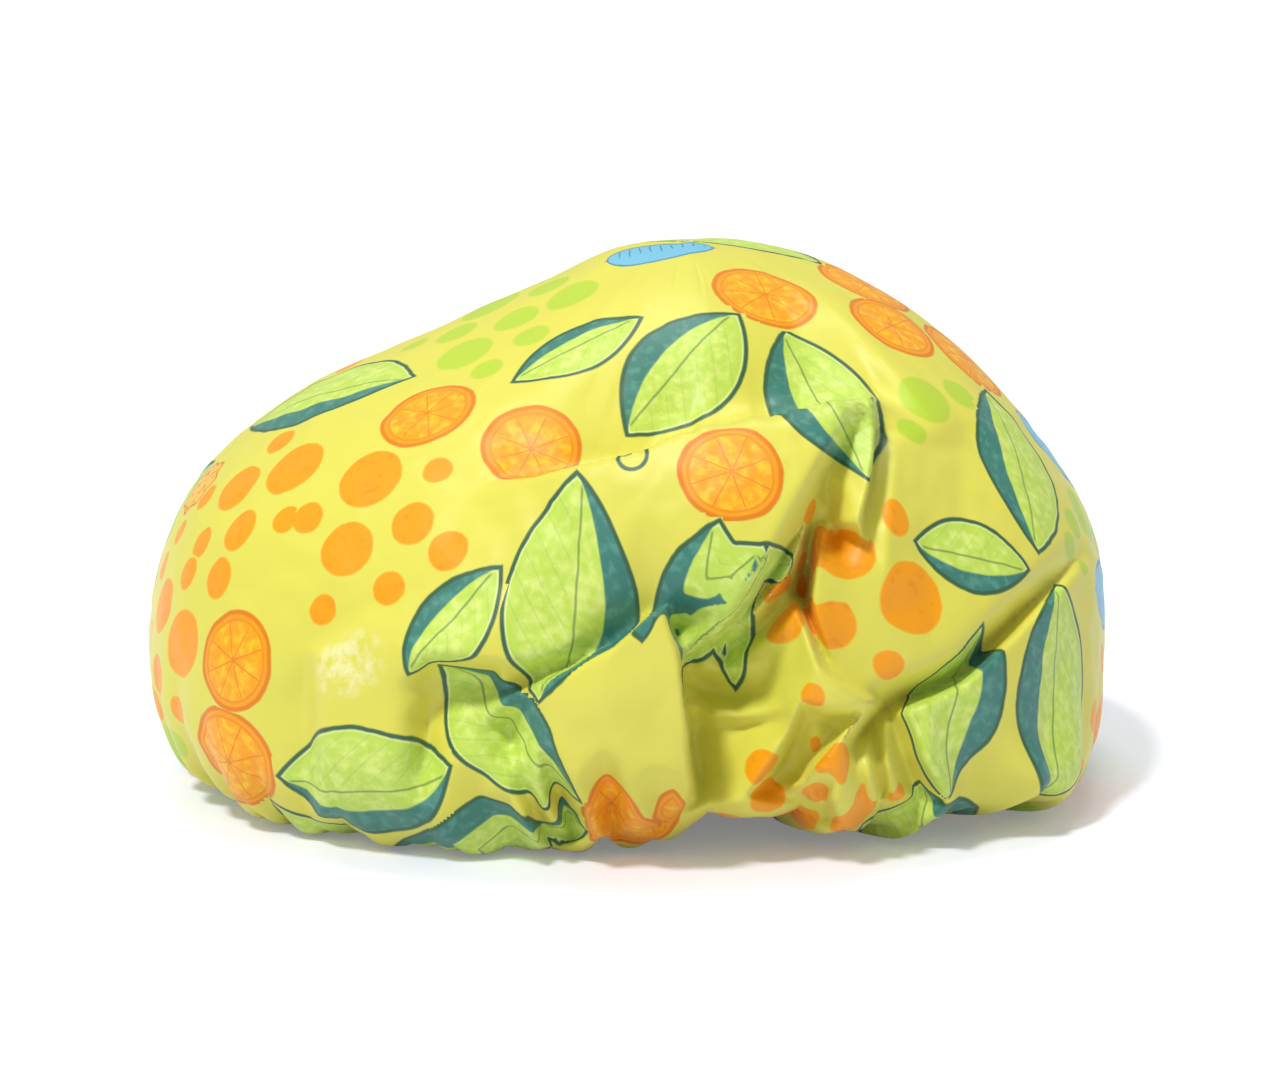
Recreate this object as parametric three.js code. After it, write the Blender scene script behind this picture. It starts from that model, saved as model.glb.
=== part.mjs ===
import * as THREE from 'three';

// A two-layer shower cap standing on its gathered hem, in millimetres, +Z up, its front towards -Y.
// The cloth is described from its pole, the middle of the flat disc it was cut from, out to the hem's
// fold line: a share runs from 0 at the pole to 1 at the fold line, and a turn goes round from +X.

// Overall sizes of the cap as it stands
const capWidth = 260;
const capDepth = 236;
const capHeight = 147;

// The flat disc, from its middle to the hem's fold line
const cutRadius = 270;

// Cloth, film, elastic and thread
const shellWall = 0.5;
const liningWall = 0.4;
const elasticWidth = 6;
const elasticThickness = 1;
const elasticEndGap = 0.6;
const threadDiameter = 0.4;
const pieceGap = 0.35;

// The hem's casing: the turned edge, and the stitch line's place, both measured from the fold line
const casingWidth = 10;
const stitchInset = 8.4;
const casingNose = 1.2;

// The zigzag tack over the elastic's two ends
const tackLength = 7;
const tackPoints = 7;
const tackMargin = 0.8;

// Relief of the cloth: the tallest fold, how far from its marks a fold ends, the hem's pleats and its
// lifted places
const foldRise = 27;
const foldReach = 28;
const pleatDepth = 2.6;
const hemLift = 13;
const baseCut = 0.5;

// How finely the cloth is cut into facets: the hem's columns, drawn towards the front, and the least
// room between a fold's mark and the net's even places
const pleatCount = 13;
const stepsPerPleat = 3;
const frontCrowdingShare = 0.5;
const netGap = 12;
const threadSides = 4;
const tackSteps = 48;

// How far outside the disc the net's first triangle reaches, and the step that feels out a slope
const netOutsideShare = 60;
const nudgeShare = 0.01;

// The even places of the cloth's net, as [share out, how many there are round the ring]
const evenRingShares = [
  [0, 1], [0.08, 6], [0.16, 11], [0.24, 16], [0.32, 21], [0.4, 25], [0.48, 28], [0.56, 31], [0.64, 33],
  [0.72, 35], [0.8, 37],
];

// Where the hem's rings lie, out from the net's rim to the fold line
const hemRingShares = [0.88, 0.94, 1 - casingWidth / cutRadius, 1];
const pleatStartShare = 0.68;

// The puffed form, as shares of half the width, half the depth and the height: the share out from the
// pole, then right x and z, left x and z, front y and z, back y and z, and how full the corners are
const formShares = [
  [0.0, 0.13, 1.0, 0.13, 1.0, 0.0, 1.0, 0.0, 1.0, 0],
  [0.06, 0.25, 0.995, 0.0, 0.98, -0.13, 0.99, 0.12, 0.98, 0],
  [0.14, 0.42, 0.955, -0.16, 0.92, -0.31, 0.95, 0.28, 0.92, 0],
  [0.28, 0.67, 0.81, -0.44, 0.81, -0.6, 0.82, 0.54, 0.755, 0],
  [0.42, 0.87, 0.62, -0.7, 0.7, -0.82, 0.67, 0.77, 0.57, 0.02],
  [0.56, 0.98, 0.445, -0.91, 0.53, -0.94, 0.465, 0.93, 0.37, 0.04],
  [0.68, 1.0, 0.26, -0.99, 0.33, -0.97, 0.27, 1.0, 0.195, 0.06],
  [0.79, 0.975, 0.093, -0.975, 0.145, -0.93, 0.083, 0.96, 0.072, 0.07],
  [0.87, 0.9, 0.0, -0.9, 0.01, -0.81, 0.0, 0.86, 0.0, 0.07],
  [0.94, 0.74, 0.0, -0.75, 0.0, -0.68, 0.0, 0.72, 0.0, 0.04],
  [1.0, 0.6, 0.062, -0.6, 0.062, -0.58, 0.062, 0.6, 0.062, 0],
];

// The folds of the front, as places on the flat disc: [share out, degrees round from +X, how far
// forwards the cloth is carried there as a share of foldRise]
const foldShares = [
  // The flap's top edge, the pocket behind it, its right edge and its face
  [0.46, 244, 0.04], [0.42, 251, 0.25], [0.39, 264, 0.48], [0.36, 277, 0.67], [0.335, 291, 0.85],
  [0.32, 306, 1], [0.38, 250, -0.02], [0.355, 261, -0.1], [0.337, 269, -0.13], [0.323, 277, -0.15],
  [0.298, 290, -0.2], [0.283, 305, -0.22], [0.285, 320, 0.02], [0.38, 294, 0.84], [0.44, 289, 0.72],
  [0.5, 285, 0.56], [0.55, 281.5, 0.42], [0.585, 279, 0.26], [0.5, 256, 0.26], [0.45, 268, 0.46],
  [0.42, 280, 0.6], [0.52, 269, 0.34],
  // The ear beside the flap, and the cloth under it
  [0.37, 302.5, 0.64], [0.425, 299, 0.42], [0.47, 296, 0.12], [0.43, 294, 0.26],
  [0.34, 313, 0], [0.385, 308, -0.04], [0.43, 304.5, -0.05], [0.485, 301.5, 0.14], [0.54, 299, 0.16],
  // The deep valley right of the flap, and the hollow below it
  [0.495, 290.5, -0.2], [0.545, 287, -0.48], [0.59, 284.5, -0.46], [0.625, 279.5, -0.46],
  [0.69, 280.5, -0.56], [0.755, 280.7, -0.3], [0.66, 285, -0.4], [0.725, 285, -0.3],
  // The pointed fold that stands over the puckers
  [0.58, 291.5, 0.06], [0.625, 291, 0.34], [0.67, 297, 0.36], [0.665, 289.5, 0.08], [0.715, 292, 0.3],
  [0.755, 289.5, 0.2], [0.735, 297, 0.26], [0.8, 296.5, 0.3], [0.73, 301.5, -0.14], [0.785, 302, -0.06],
  [0.755, 306.5, 0.22],
  // The long valley out to the right, the cloth over it and the facet under it
  [0.675, 302, -0.2], [0.66, 308, -0.33], [0.62, 315, -0.33], [0.58, 325, -0.24], [0.555, 341, -0.12],
  [0.62, 303.5, 0.08], [0.575, 311, 0.14], [0.54, 322, 0.18], [0.515, 338, 0.08],
  [0.67, 337, 0.1], [0.655, 324, 0.16], [0.703, 307.5, 0.2], [0.668, 313.5, 0.04], [0.71, 317, 0.12],
  // The lobe at the front: its top edge, its right edge and its face
  [0.55, 268, 0.1], [0.593, 264, -0.02],
  [0.66, 255.5, 0.04], [0.64, 260.5, 0.18], [0.63, 265, 0.46], [0.585, 270.5, 0.6], [0.583, 274.7, 0.34],
  [0.625, 274.5, 0.64], [0.69, 276.3, 0.48], [0.755, 276.5, 0.26], [0.675, 264, 0.36], [0.67, 269.5, 0.42],
  [0.72, 259.5, -0.06], [0.725, 266, 0.12], [0.725, 271.5, 0.2],
  // The belly's lower edge, and the soft folds left of the lobe
  [0.6, 236, 0.08], [0.618, 244, 0.2], [0.618, 250, 0.32], [0.608, 257, 0.2],
  [0.655, 247.5, -0.14], [0.662, 251.5, -0.22],
  [0.69, 232, -0.13], [0.7, 237.5, 0.18], [0.8, 232, -0.1], [0.8, 237.5, 0.18],
  [0.7, 243.5, 0.18], [0.71, 248, -0.12], [0.56, 214, 0.1],
  // The gathers over the hem
  [0.8, 246, 0.24], [0.77, 252, -0.06], [0.78, 256, 0.24], [0.785, 260.5, -0.08],
  [0.79, 265, 0.28], [0.79, 269, -0.12], [0.785, 273, 0.26],
  // The crown's valley and its brows
  [0.14, 292, -0.08], [0.205, 300, -0.24], [0.2, 320, 0.08], [0.243, 311, 0.06], [0.345, 329, 0.16],
  [0.35, 343, 0.17],
];

// Where the hem is lifted off the table: [share out, degrees, spread in share, spread in degrees,
// share of hemLift]
const liftShares = [
  [0.9, 285, 0.11, 11, 1],
  [0.9, 317, 0.11, 13, 0.6],
  [0.9, 350, 0.1, 18, 0.2],
];

// The folds lean up a little from straight forwards
const forwardDegrees = 11;
const forwardAngle = THREE.MathUtils.degToRad(forwardDegrees);
const forwards = new THREE.Vector3(0, -Math.cos(forwardAngle), Math.sin(forwardAngle));
const fullTurn = 2 * Math.PI;
const fullDegrees = 360;
const turnCount = pleatCount * stepsPerPleat;

// A table's row between its rows, on a smooth curve through them; the first column says where each is.
function readTable(rows, place) {
  const last = rows.length - 2;
  const found = rows.findIndex((row) => row[0] > place) - 1;
  const index = found < 0 ? last : Math.min(found, last);
  const slope = (from) => {
    const width = rows[from + 1][0] - rows[from][0];
    return rows[from].map((value, column) => (rows[from + 1][column] - value) / width);
  };
  const tangent = (at) => {
    if (at === 0) return slope(0);
    if (at === rows.length - 1) return slope(at - 1);
    const before = rows[at][0] - rows[at - 1][0];
    const after = rows[at + 1][0] - rows[at][0];
    const [lower, upper] = [slope(at - 1), slope(at)];
    return lower.map((value, column) => (value * after + upper[column] * before) / (before + after));
  };
  const span = rows[index + 1][0] - rows[index][0];
  const t = (place - rows[index][0]) / span;
  const [startSlope, endSlope] = [tangent(index), tangent(index + 1)];
  const passed = 3 * t ** 2 - 2 * t ** 3;
  return rows[index].map((value, column) => {
    const target = rows[index + 1][column];
    const leaving = startSlope[column] * span * (t ** 3 - 2 * t ** 2 + t);
    const arriving = endSlope[column] * span * (t ** 3 - t ** 2);
    return value * (1 - passed) + target * passed + leaving + arriving;
  });
}

// A point of the puffed form, before its folds.
function formPoint(share, turn) {
  const sizes = readTable(formShares, share);
  const [, rightX, rightZ, leftX, leftZ, frontY, frontZ, backY, backZ, corner] = sizes;
  const [across, along] = [Math.cos(turn), Math.sin(turn)];
  const fullness = 1 + corner * Math.sin(2 * turn) ** 2;
  const x = (rightX + leftX) / 2 + ((rightX - leftX) / 2) * across;
  const y = (frontY + backY) / 2 + ((backY - frontY) / 2) * along;
  const sideZ = across > 0 ? rightZ : leftZ;
  const endZ = along > 0 ? backZ : frontZ;
  const z = sideZ * across ** 2 + endZ * along ** 2;
  const [wide, deep] = [(fullness * capWidth) / 2, (fullness * capDepth) / 2];
  return new THREE.Vector3(x * wide, y * deep, z * capHeight);
}

// A place on the flat disc.
function flatPoint(share, turn) {
  return new THREE.Vector2(share * cutRadius * Math.cos(turn), share * cutRadius * Math.sin(turn));
}

// The outward normal of the puffed form.
function formNormal(share, turn) {
  const outwards = formPoint(share + nudgeShare, turn).sub(formPoint(share - nudgeShare, turn));
  const onwards = formPoint(share, turn + nudgeShare).sub(formPoint(share, turn - nudgeShare));
  return outwards.cross(onwards).normalize();
}

// A turn of an even ring, drawn towards the front, where the folds are.
function crowdedTurn(even) {
  return even - frontCrowdingShare * Math.cos(even);
}

// A point of the cloth's outer face, carried forwards by its fold, lifted at the hem and cut flat.
function facePoint(share, turn, rise, pleated) {
  const point = formPoint(share, turn).addScaledVector(forwards, rise * foldRise);
  for (const [liftShare, degrees, shareSpread, degreeSpread, lift] of liftShares) {
    const aside = Math.abs(THREE.MathUtils.radToDeg(turn) - degrees) % fullDegrees;
    const around = Math.min(aside, fullDegrees - aside) / degreeSpread;
    const out = (share - liftShare) / shareSpread;
    point.z += lift * hemLift * Math.exp(-(out ** 2) - around ** 2);
  }
  if (pleated) {
    const depth = (pleatDepth * (share - pleatStartShare)) / (1 - pleatStartShare);
    point.addScaledVector(formNormal(share, turn), -depth);
  }
  point.z = Math.max(0, point.z - baseCut);
  return point;
}

// The hem's rings, from the net's rim to the fold line, with their pleats.
function hemFace() {
  return hemRingShares.map((share) => Array.from({ length: turnCount }, (_, column) => {
    const turn = crowdedTurn((column / turnCount) * fullTurn);
    return facePoint(share, turn, 0, column % stepsPerPleat === 0);
  }));
}

// Whether the circle through a triangle's corners holds a place.
function circleHolds(corners, place) {
  const [a, b, c] = corners.map((corner) => corner.clone().sub(place));
  const side = b.clone().sub(a).cross(c.clone().sub(a));
  const held = a.lengthSq() * b.cross(c) - b.lengthSq() * a.cross(c) + c.lengthSq() * a.cross(b);
  return held * side > 0;
}

// Joins places on the disc into triangles whose circles hold no other place. The rim's places, all on
// one circle, come last.
function netTriangles(flats) {
  const outside = netOutsideShare * cutRadius;
  const frame = [[-outside, -outside], [outside, -outside], [0, outside]];
  const spots = [...flats, ...frame.map(([x, y]) => new THREE.Vector2(x, y))];
  let triangles = [[flats.length, flats.length + 1, flats.length + 2]];
  flats.forEach((flat, added) => {
    const holds = (triangle) => circleHolds(triangle.map((corner) => spots[corner]), flat);
    const open = triangles.filter(holds);
    const edges = open.flatMap(([a, b, c]) => [[a, b], [b, c], [c, a]]);
    const rim = edges.filter(([a, b]) => !edges.some(([c, d]) => a === d && b === c));
    triangles = triangles.filter((triangle) => !open.includes(triangle));
    triangles.push(...rim.map(([a, b]) => [a, b, added]));
  });
  return triangles.filter((triangle) => triangle.every((corner) => corner < flats.length));
}

// The rise at a place on the disc, read from the triangle of known places that holds it.
function riseAt(flat, known, net) {
  for (const triangle of net) {
    const corners = triangle.map((corner) => known[corner]);
    const [a, b, c] = corners.map((corner) => corner.flat);
    const parts = [[b, c], [c, a], [a, b]].map(([from, to]) => {
      return to.clone().sub(from).cross(flat.clone().sub(from));
    });
    if (parts.every((part) => part >= 0)) {
      const whole = parts.reduce((sum, part) => sum + part, 0);
      return corners.reduce((sum, corner, index) => sum + (corner.rise * parts[index]) / whole, 0);
    }
  }
  return 0;
}

// A place of the cloth's net.
function netPlace(share, turn, rise) {
  return { share, turn, rise, flat: flatPoint(share, turn) };
}

// The net's places inside its rim: the folds' own, then the even rings' places that keep clear of them.
// Far from every fold the cloth is still, and in between it runs straight from mark to mark.
function netPlaces() {
  const folds = foldShares.map(([share, degrees, rise]) => {
    return netPlace(share, THREE.MathUtils.degToRad(degrees), rise);
  });
  const nearest = ({ flat }) => Math.min(...folds.map((fold) => fold.flat.distanceTo(flat)));
  const even = evenRingShares.flatMap(([share, count]) => Array.from({ length: count }, (_, step) => {
    return netPlace(share, crowdedTurn(((step + (count % 2) / 2) / count) * fullTurn), 0);
  }));
  const clear = even.filter((place) => nearest(place) > netGap);
  const still = clear.filter((place) => nearest(place) > foldReach);
  const known = [...folds, ...still, ...rimPlaces];
  const net = netTriangles(known.map(({ flat }) => flat));
  const between = clear.filter((place) => nearest(place) <= foldReach);
  const carried = between.map(({ share, turn, flat }) => netPlace(share, turn, riseAt(flat, known, net)));
  return [...folds, ...still, ...carried];
}

const outerFace = hemFace();
const hemRow = outerFace.length - 1;
const rimPlaces = outerFace[0].map((_, column) => {
  return netPlace(hemRingShares[0], crowdedTurn((column / turnCount) * fullTurn), 0);
});
const places = netPlaces();
const netPoints = places.map(({ share, turn, rise }) => facePoint(share, turn, rise, false));
const triangles = netTriangles([...places, ...rimPlaces].map(({ flat }) => flat));

// A corner of the net, its inner places before its rim, in a body that holds the two elsewhere.
function netCorner(corner, rimStart, placeStart) {
  return corner < places.length ? placeStart + corner : rimStart + corner - places.length;
}

// The outer face's normals, ring by ring and then over the net.
function outerNormals() {
  const points = [...outerFace.flat(), ...netPoints];
  const hemFaces = loft(outerFace.map((ring, row) => makeRing(row, ring)), false);
  const netFaces = triangles.map((triangle) => {
    return triangle.map((corner) => netCorner(corner, 0, outerFace.length * turnCount));
  });
  const geometry = new THREE.BufferGeometry().setFromPoints(points);
  geometry.setIndex([...hemFaces, ...netFaces].flat());
  geometry.computeVertexNormals();
  const normals = geometry.getAttribute('normal');
  return points.map((_, index) => new THREE.Vector3().fromBufferAttribute(normals, index));
}

const allNormals = outerNormals();
const faceNormals = outerFace.map((_, row) => allNormals.slice(row * turnCount, (row + 1) * turnCount));
const netNormals = allNormals.slice(outerFace.length * turnCount);

// How deep inside the outer face each piece of the hem lies
const innerLayerDepth = shellWall + pieceGap;
const elasticDepth = innerLayerDepth + elasticThickness;
const tackDepth = elasticDepth + pieceGap + threadDiameter / 2;
const casingDepth = tackDepth + threadDiameter / 2 + pieceGap;
const closedDepth = innerLayerDepth + liningWall + pieceGap;
const elasticBack = pieceGap + elasticWidth;
const liningBack = elasticBack + pieceGap;

// A ring of points, and how far out from the fold line it lies over the flat cloth, negative inside it
function makeRing(out, points) {
  return { out, points };
}

// A ring of the cloth's layers, a depth inside its outer face.
function layerRing(row, depth) {
  const sink = (point, column) => point.clone().addScaledVector(faceNormals[row][column], -depth);
  return makeRing((hemRingShares[row] - 1) * cutRadius, outerFace[row].map(sink));
}

// The points of the net inside its rim, a depth inside the cloth's outer face.
function layerNet(depth) {
  return netPoints.map((point, index) => point.clone().addScaledVector(netNormals[index], -depth));
}

// A point of the hem: a column, how far back from the fold line, and how deep inside the outer face.
function hemPoint(column, back, depth) {
  const [rim, inner] = [outerFace[hemRow][column], outerFace[hemRow - 1][column]];
  const along = back / rim.distanceTo(inner);
  const normal = faceNormals[hemRow][column].clone().lerp(faceNormals[hemRow - 1][column], along);
  return rim.clone().lerp(inner, along).addScaledVector(normal, -depth);
}

// The same between two columns.
function hemPlace(at, back, depth) {
  const column = Math.floor(at);
  const start = hemPoint(column % turnCount, back, depth);
  return start.lerp(hemPoint((column + 1) % turnCount, back, depth), at - column);
}

// A ring of the hem.
function hemRing(back, depth) {
  return makeRing(-back, outerFace[hemRow].map((_, column) => hemPoint(column, back, depth)));
}

// Depth of the casing's turned leg: level over the elastic, then closing on the lining.
function legDepth(back) {
  const closing = Math.max(0, (back - liningBack) / (casingWidth - liningBack));
  return casingDepth + (closedDepth - casingDepth) * closing;
}

// Joins rings of points with one another. Every four-sided facet is split the same way round on every
// layer, so that layers never cross.
function loft(rings, closesAcross, closesAround = true) {
  const columns = rings[0].points.length;
  const bands = closesAcross ? rings.length : rings.length - 1;
  const index = (row, column) => row * columns + (column % columns);
  const faces = [];
  for (let row = 0; row < bands; row += 1) {
    const next = (row + 1) % rings.length;
    for (let column = 0; column < (closesAround ? columns : columns - 1); column += 1) {
      const [near, far] = [index(row, column), index(next, column)];
      const [nearAfter, farAfter] = [index(row, column + 1), index(next, column + 1)];
      if (rings[next].out > rings[row].out) {
        faces.push([near, far, nearAfter], [far, farAfter, nearAfter]);
      } else {
        faces.push([near, far, farAfter], [near, farAfter, nearAfter]);
      }
    }
  }
  if (!closesAround) {
    const last = columns - 1;
    for (let row = 1; row < rings.length - 1; row += 1) {
      faces.push([index(0, 0), index(row + 1, 0), index(row, 0)]);
      faces.push([index(0, last), index(row, last), index(row + 1, last)]);
    }
  }
  return faces;
}

// The points of some rings, one ring after another.
function ringPoints(rings) {
  return rings.flatMap((ring) => ring.points);
}

// A geometry whose faces point out, whichever way round its rings were given.
function outwardGeometry(points, faces) {
  const positions = points.flatMap((point) => point.toArray());
  const corner = (vertex) => new THREE.Vector3().fromArray(positions, 3 * vertex);
  const volume = faces.reduce((sum, [a, b, c]) => sum + corner(a).dot(corner(b).cross(corner(c))), 0);
  const ordered = volume > 0 ? faces : faces.map(([a, b, c]) => [a, c, b]);
  const geometry = new THREE.BufferGeometry();
  geometry.setAttribute('position', new THREE.Float32BufferAttribute(positions, 3));
  geometry.setIndex(ordered.flat());
  geometry.computeVertexNormals();
  return geometry;
}

// A sheet: its outer net, its rings out to the edge and back to the rim, and its inner net.
function sheetGeometry(rings, outerDepth, innerDepth) {
  const outerStart = rings.length * turnCount;
  const innerStart = outerStart + netPoints.length;
  const lastRing = (rings.length - 1) * turnCount;
  const outerNet = triangles.map((triangle) => triangle.map((corner) => netCorner(corner, 0, outerStart)));
  const innerNet = triangles.map((triangle) => {
    return triangle.toReversed().map((corner) => netCorner(corner, lastRing, innerStart));
  });
  const points = [...ringPoints(rings), ...layerNet(outerDepth), ...layerNet(innerDepth)];
  return outwardGeometry(points, [...loft(rings, false), ...outerNet, ...innerNet]);
}

// The printed cloth: its outer face, round the hem's fold, back along the casing's leg and up inside.
function shellGeometry() {
  const rows = outerFace.map((_, row) => row);
  const outside = rows.map((row) => layerRing(row, 0));
  const inside = rows.toReversed().map((row) => layerRing(row, shellWall));
  const nose = hemRing(-casingNose, (casingDepth + shellWall) / 2);
  const legBacks = [0, liningBack, casingWidth];
  const legOutside = legBacks.map((back) => hemRing(back, legDepth(back) + shellWall));
  const legInside = legBacks.toReversed().map((back) => hemRing(back, legDepth(back)));
  return sheetGeometry([...outside, nose, ...legOutside, ...legInside, ...inside], 0, shellWall);
}

// The film inside the cloth, its edge under the casing's leg.
function liningGeometry() {
  const rows = outerFace.slice(0, hemRow).map((_, row) => row);
  const innerDepth = innerLayerDepth + liningWall;
  const faceAt = (depth) => [...rows.map((row) => layerRing(row, depth)), hemRing(liningBack, depth)];
  const rings = [...faceAt(innerLayerDepth), ...faceAt(innerDepth).toReversed()];
  return sheetGeometry(rings, innerLayerDepth, innerDepth);
}

// Where the elastic's two ends meet, in the middle of the back
const joinColumn = Math.floor(turnCount / 4);
const joinAt = joinColumn + 1 / 2;
const joinEnd = hemPoint(joinColumn + 1, 0, elasticDepth);
const joinSegment = hemPoint(joinColumn, 0, elasticDepth).distanceTo(joinEnd);

// The elastic: a flat strip once round inside the casing, its ends nearly meeting.
function elasticGeometry() {
  const halfGap = elasticEndGap / 2 / joinSegment;
  const stops = Array.from({ length: turnCount }, (_, step) => joinColumn + 1 + step);
  const sections = [joinAt + halfGap, ...stops, joinAt + turnCount - halfGap];
  const edge = (back, depth) => makeRing(-back, sections.map((at) => hemPlace(at, back, depth)));
  const edges = [
    edge(pieceGap, innerLayerDepth),
    edge(elasticBack, innerLayerDepth),
    edge(elasticBack, elasticDepth),
    edge(pieceGap, elasticDepth),
  ];
  return outwardGeometry(ringPoints(edges), loft(edges, true, false));
}

// One thread of the casing's stitch line, once round the hem.
function threadGeometry(depth) {
  const radius = threadDiameter / 2;
  const rings = Array.from({ length: threadSides }, (_, side) => {
    const angle = (side / threadSides) * fullTurn;
    return hemRing(stitchInset + radius * Math.cos(angle), depth + radius * Math.sin(angle));
  });
  return outwardGeometry(ringPoints(rings), loft(rings, true));
}

// The zigzag tack across the elastic's two ends.
function tackGeometry() {
  const low = pieceGap + tackMargin;
  const high = elasticBack - tackMargin;
  const corners = Array.from({ length: tackPoints }, (_, index) => {
    const along = (index / (tackPoints - 1) - 1 / 2) * tackLength;
    return hemPlace(joinAt + along / joinSegment, index % 2 ? high : low, tackDepth);
  });
  const radius = threadDiameter / 2;
  const section = new THREE.Shape();
  section.absarc(0, 0, radius, 0, fullTurn);
  return new THREE.ExtrudeGeometry(section, {
    steps: tackSteps,
    curveSegments: threadSides,
    bevelEnabled: false,
    extrudePath: new THREE.CatmullRomCurve3(corners),
  });
}

const cap = new THREE.Group();

function addPiece(name, geometry, color, roughness) {
  const mesh = new THREE.Mesh(geometry, new THREE.MeshStandardMaterial({ color, roughness, metalness: 0 }));
  mesh.name = name;
  cap.add(mesh);
}

const shell = shellGeometry();
const threadLift = pieceGap + threadDiameter / 2;
addPiece('outer_shell', shell, 0xe8e070, 0.5);
addPiece('waterproof_lining', liningGeometry(), 0xf1f1ec, 0.35);
addPiece('elastic_band', elasticGeometry(), 0xf7f5ee, 0.8);
addPiece('needle_thread', threadGeometry(-threadLift), 0xeee68a, 0.6);
addPiece('bobbin_thread', threadGeometry(legDepth(stitchInset) + shellWall + threadLift), 0xf1f1ec, 0.6);
addPiece('elastic_join_thread', tackGeometry(), 0xffffff, 0.6);

// The cap stands centred over the origin.
shell.computeBoundingBox();
const centre = shell.boundingBox.getCenter(new THREE.Vector3());
cap.position.set(-centre.x, -centre.y, 0);

export default cap;
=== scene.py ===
"""Looks of a gathered two-layer shower cap, made around its fixed frame.

The cap is one disc of printed satin over one disc of film, drawn in by an elastic hem and standing on
a table. Its form follows the same table of shares as the frame's solids, its folds lie on lines that
are marked in the photograph's own pixels, and a cloth simulation settles what lies between them.
"""

import logging
import math
from dataclasses import dataclass
from enum import Enum
from typing import Protocol

import bpy
import numpy as np
from bpy.types import ID, Material, Mesh, Node, NodeSocket, NodeTree, Object
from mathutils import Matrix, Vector
from mathutils.bvhtree import BVHTree
from mathutils.geometry import delaunay_2d_cdt
from numpy import ndarray
from numpy.linalg import norm


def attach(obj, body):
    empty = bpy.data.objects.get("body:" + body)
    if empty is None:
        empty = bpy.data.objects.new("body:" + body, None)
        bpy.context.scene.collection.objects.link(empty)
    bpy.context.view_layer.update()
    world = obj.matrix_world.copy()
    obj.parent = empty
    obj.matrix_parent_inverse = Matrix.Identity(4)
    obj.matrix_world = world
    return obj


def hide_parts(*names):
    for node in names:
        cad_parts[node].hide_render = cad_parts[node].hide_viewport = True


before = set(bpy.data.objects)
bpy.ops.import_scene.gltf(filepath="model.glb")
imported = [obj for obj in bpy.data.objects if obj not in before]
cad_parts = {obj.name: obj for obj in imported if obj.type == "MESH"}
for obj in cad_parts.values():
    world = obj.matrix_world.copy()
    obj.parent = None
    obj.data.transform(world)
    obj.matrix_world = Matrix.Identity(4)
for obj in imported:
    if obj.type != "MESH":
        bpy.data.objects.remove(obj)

LOG = logging.getLogger("shower_cap")
MM = 0.001
FULL_TURN = 2 * math.pi
TINY = 1e-12
Colour = tuple[float, float, float]
Span = tuple[float, float]


def linear(red: int, green: int, blue: int) -> Colour:
    """Turns a colour as it is seen, 0 to 255, into the linear values that a shader takes."""
    seen = [channel / 255 for channel in (red, green, blue)]
    return tuple(c / 12.92 if c <= 0.04045 else ((c + 0.055) / 1.055) ** 2.4 for c in seen)


def added(name: str, data: ID) -> Object:
    """Puts a new object with its data into the scene.

    Args:
        name: The object's name.
        data: Its mesh, lens or lamp.

    Returns:
        The object.
    """
    thing = bpy.data.objects.new(name, data)
    bpy.context.scene.collection.objects.link(thing)
    return thing


def shade_smooth(mesh: Mesh) -> None:
    """Shades all of a mesh's facets smoothly."""
    mesh.polygons.foreach_set("use_smooth", np.ones(len(mesh.polygons), bool))


def corner_points(mesh: Mesh) -> ndarray:
    """Lists the number of the point at each corner of a mesh's facets.

    Args:
        mesh: The mesh.

    Returns:
        One number for each corner.
    """
    points = np.empty(len(mesh.loops), int)
    mesh.loops.foreach_get("vertex_index", points)
    return points


def write_map(mesh: Mesh, name: str, corners: ndarray) -> None:
    """Writes a map of two values for each corner, which the mesh's material reads."""
    mesh.uv_layers.new(name=name).data.foreach_set("uv", corners.ravel().astype(np.float32))


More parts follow.
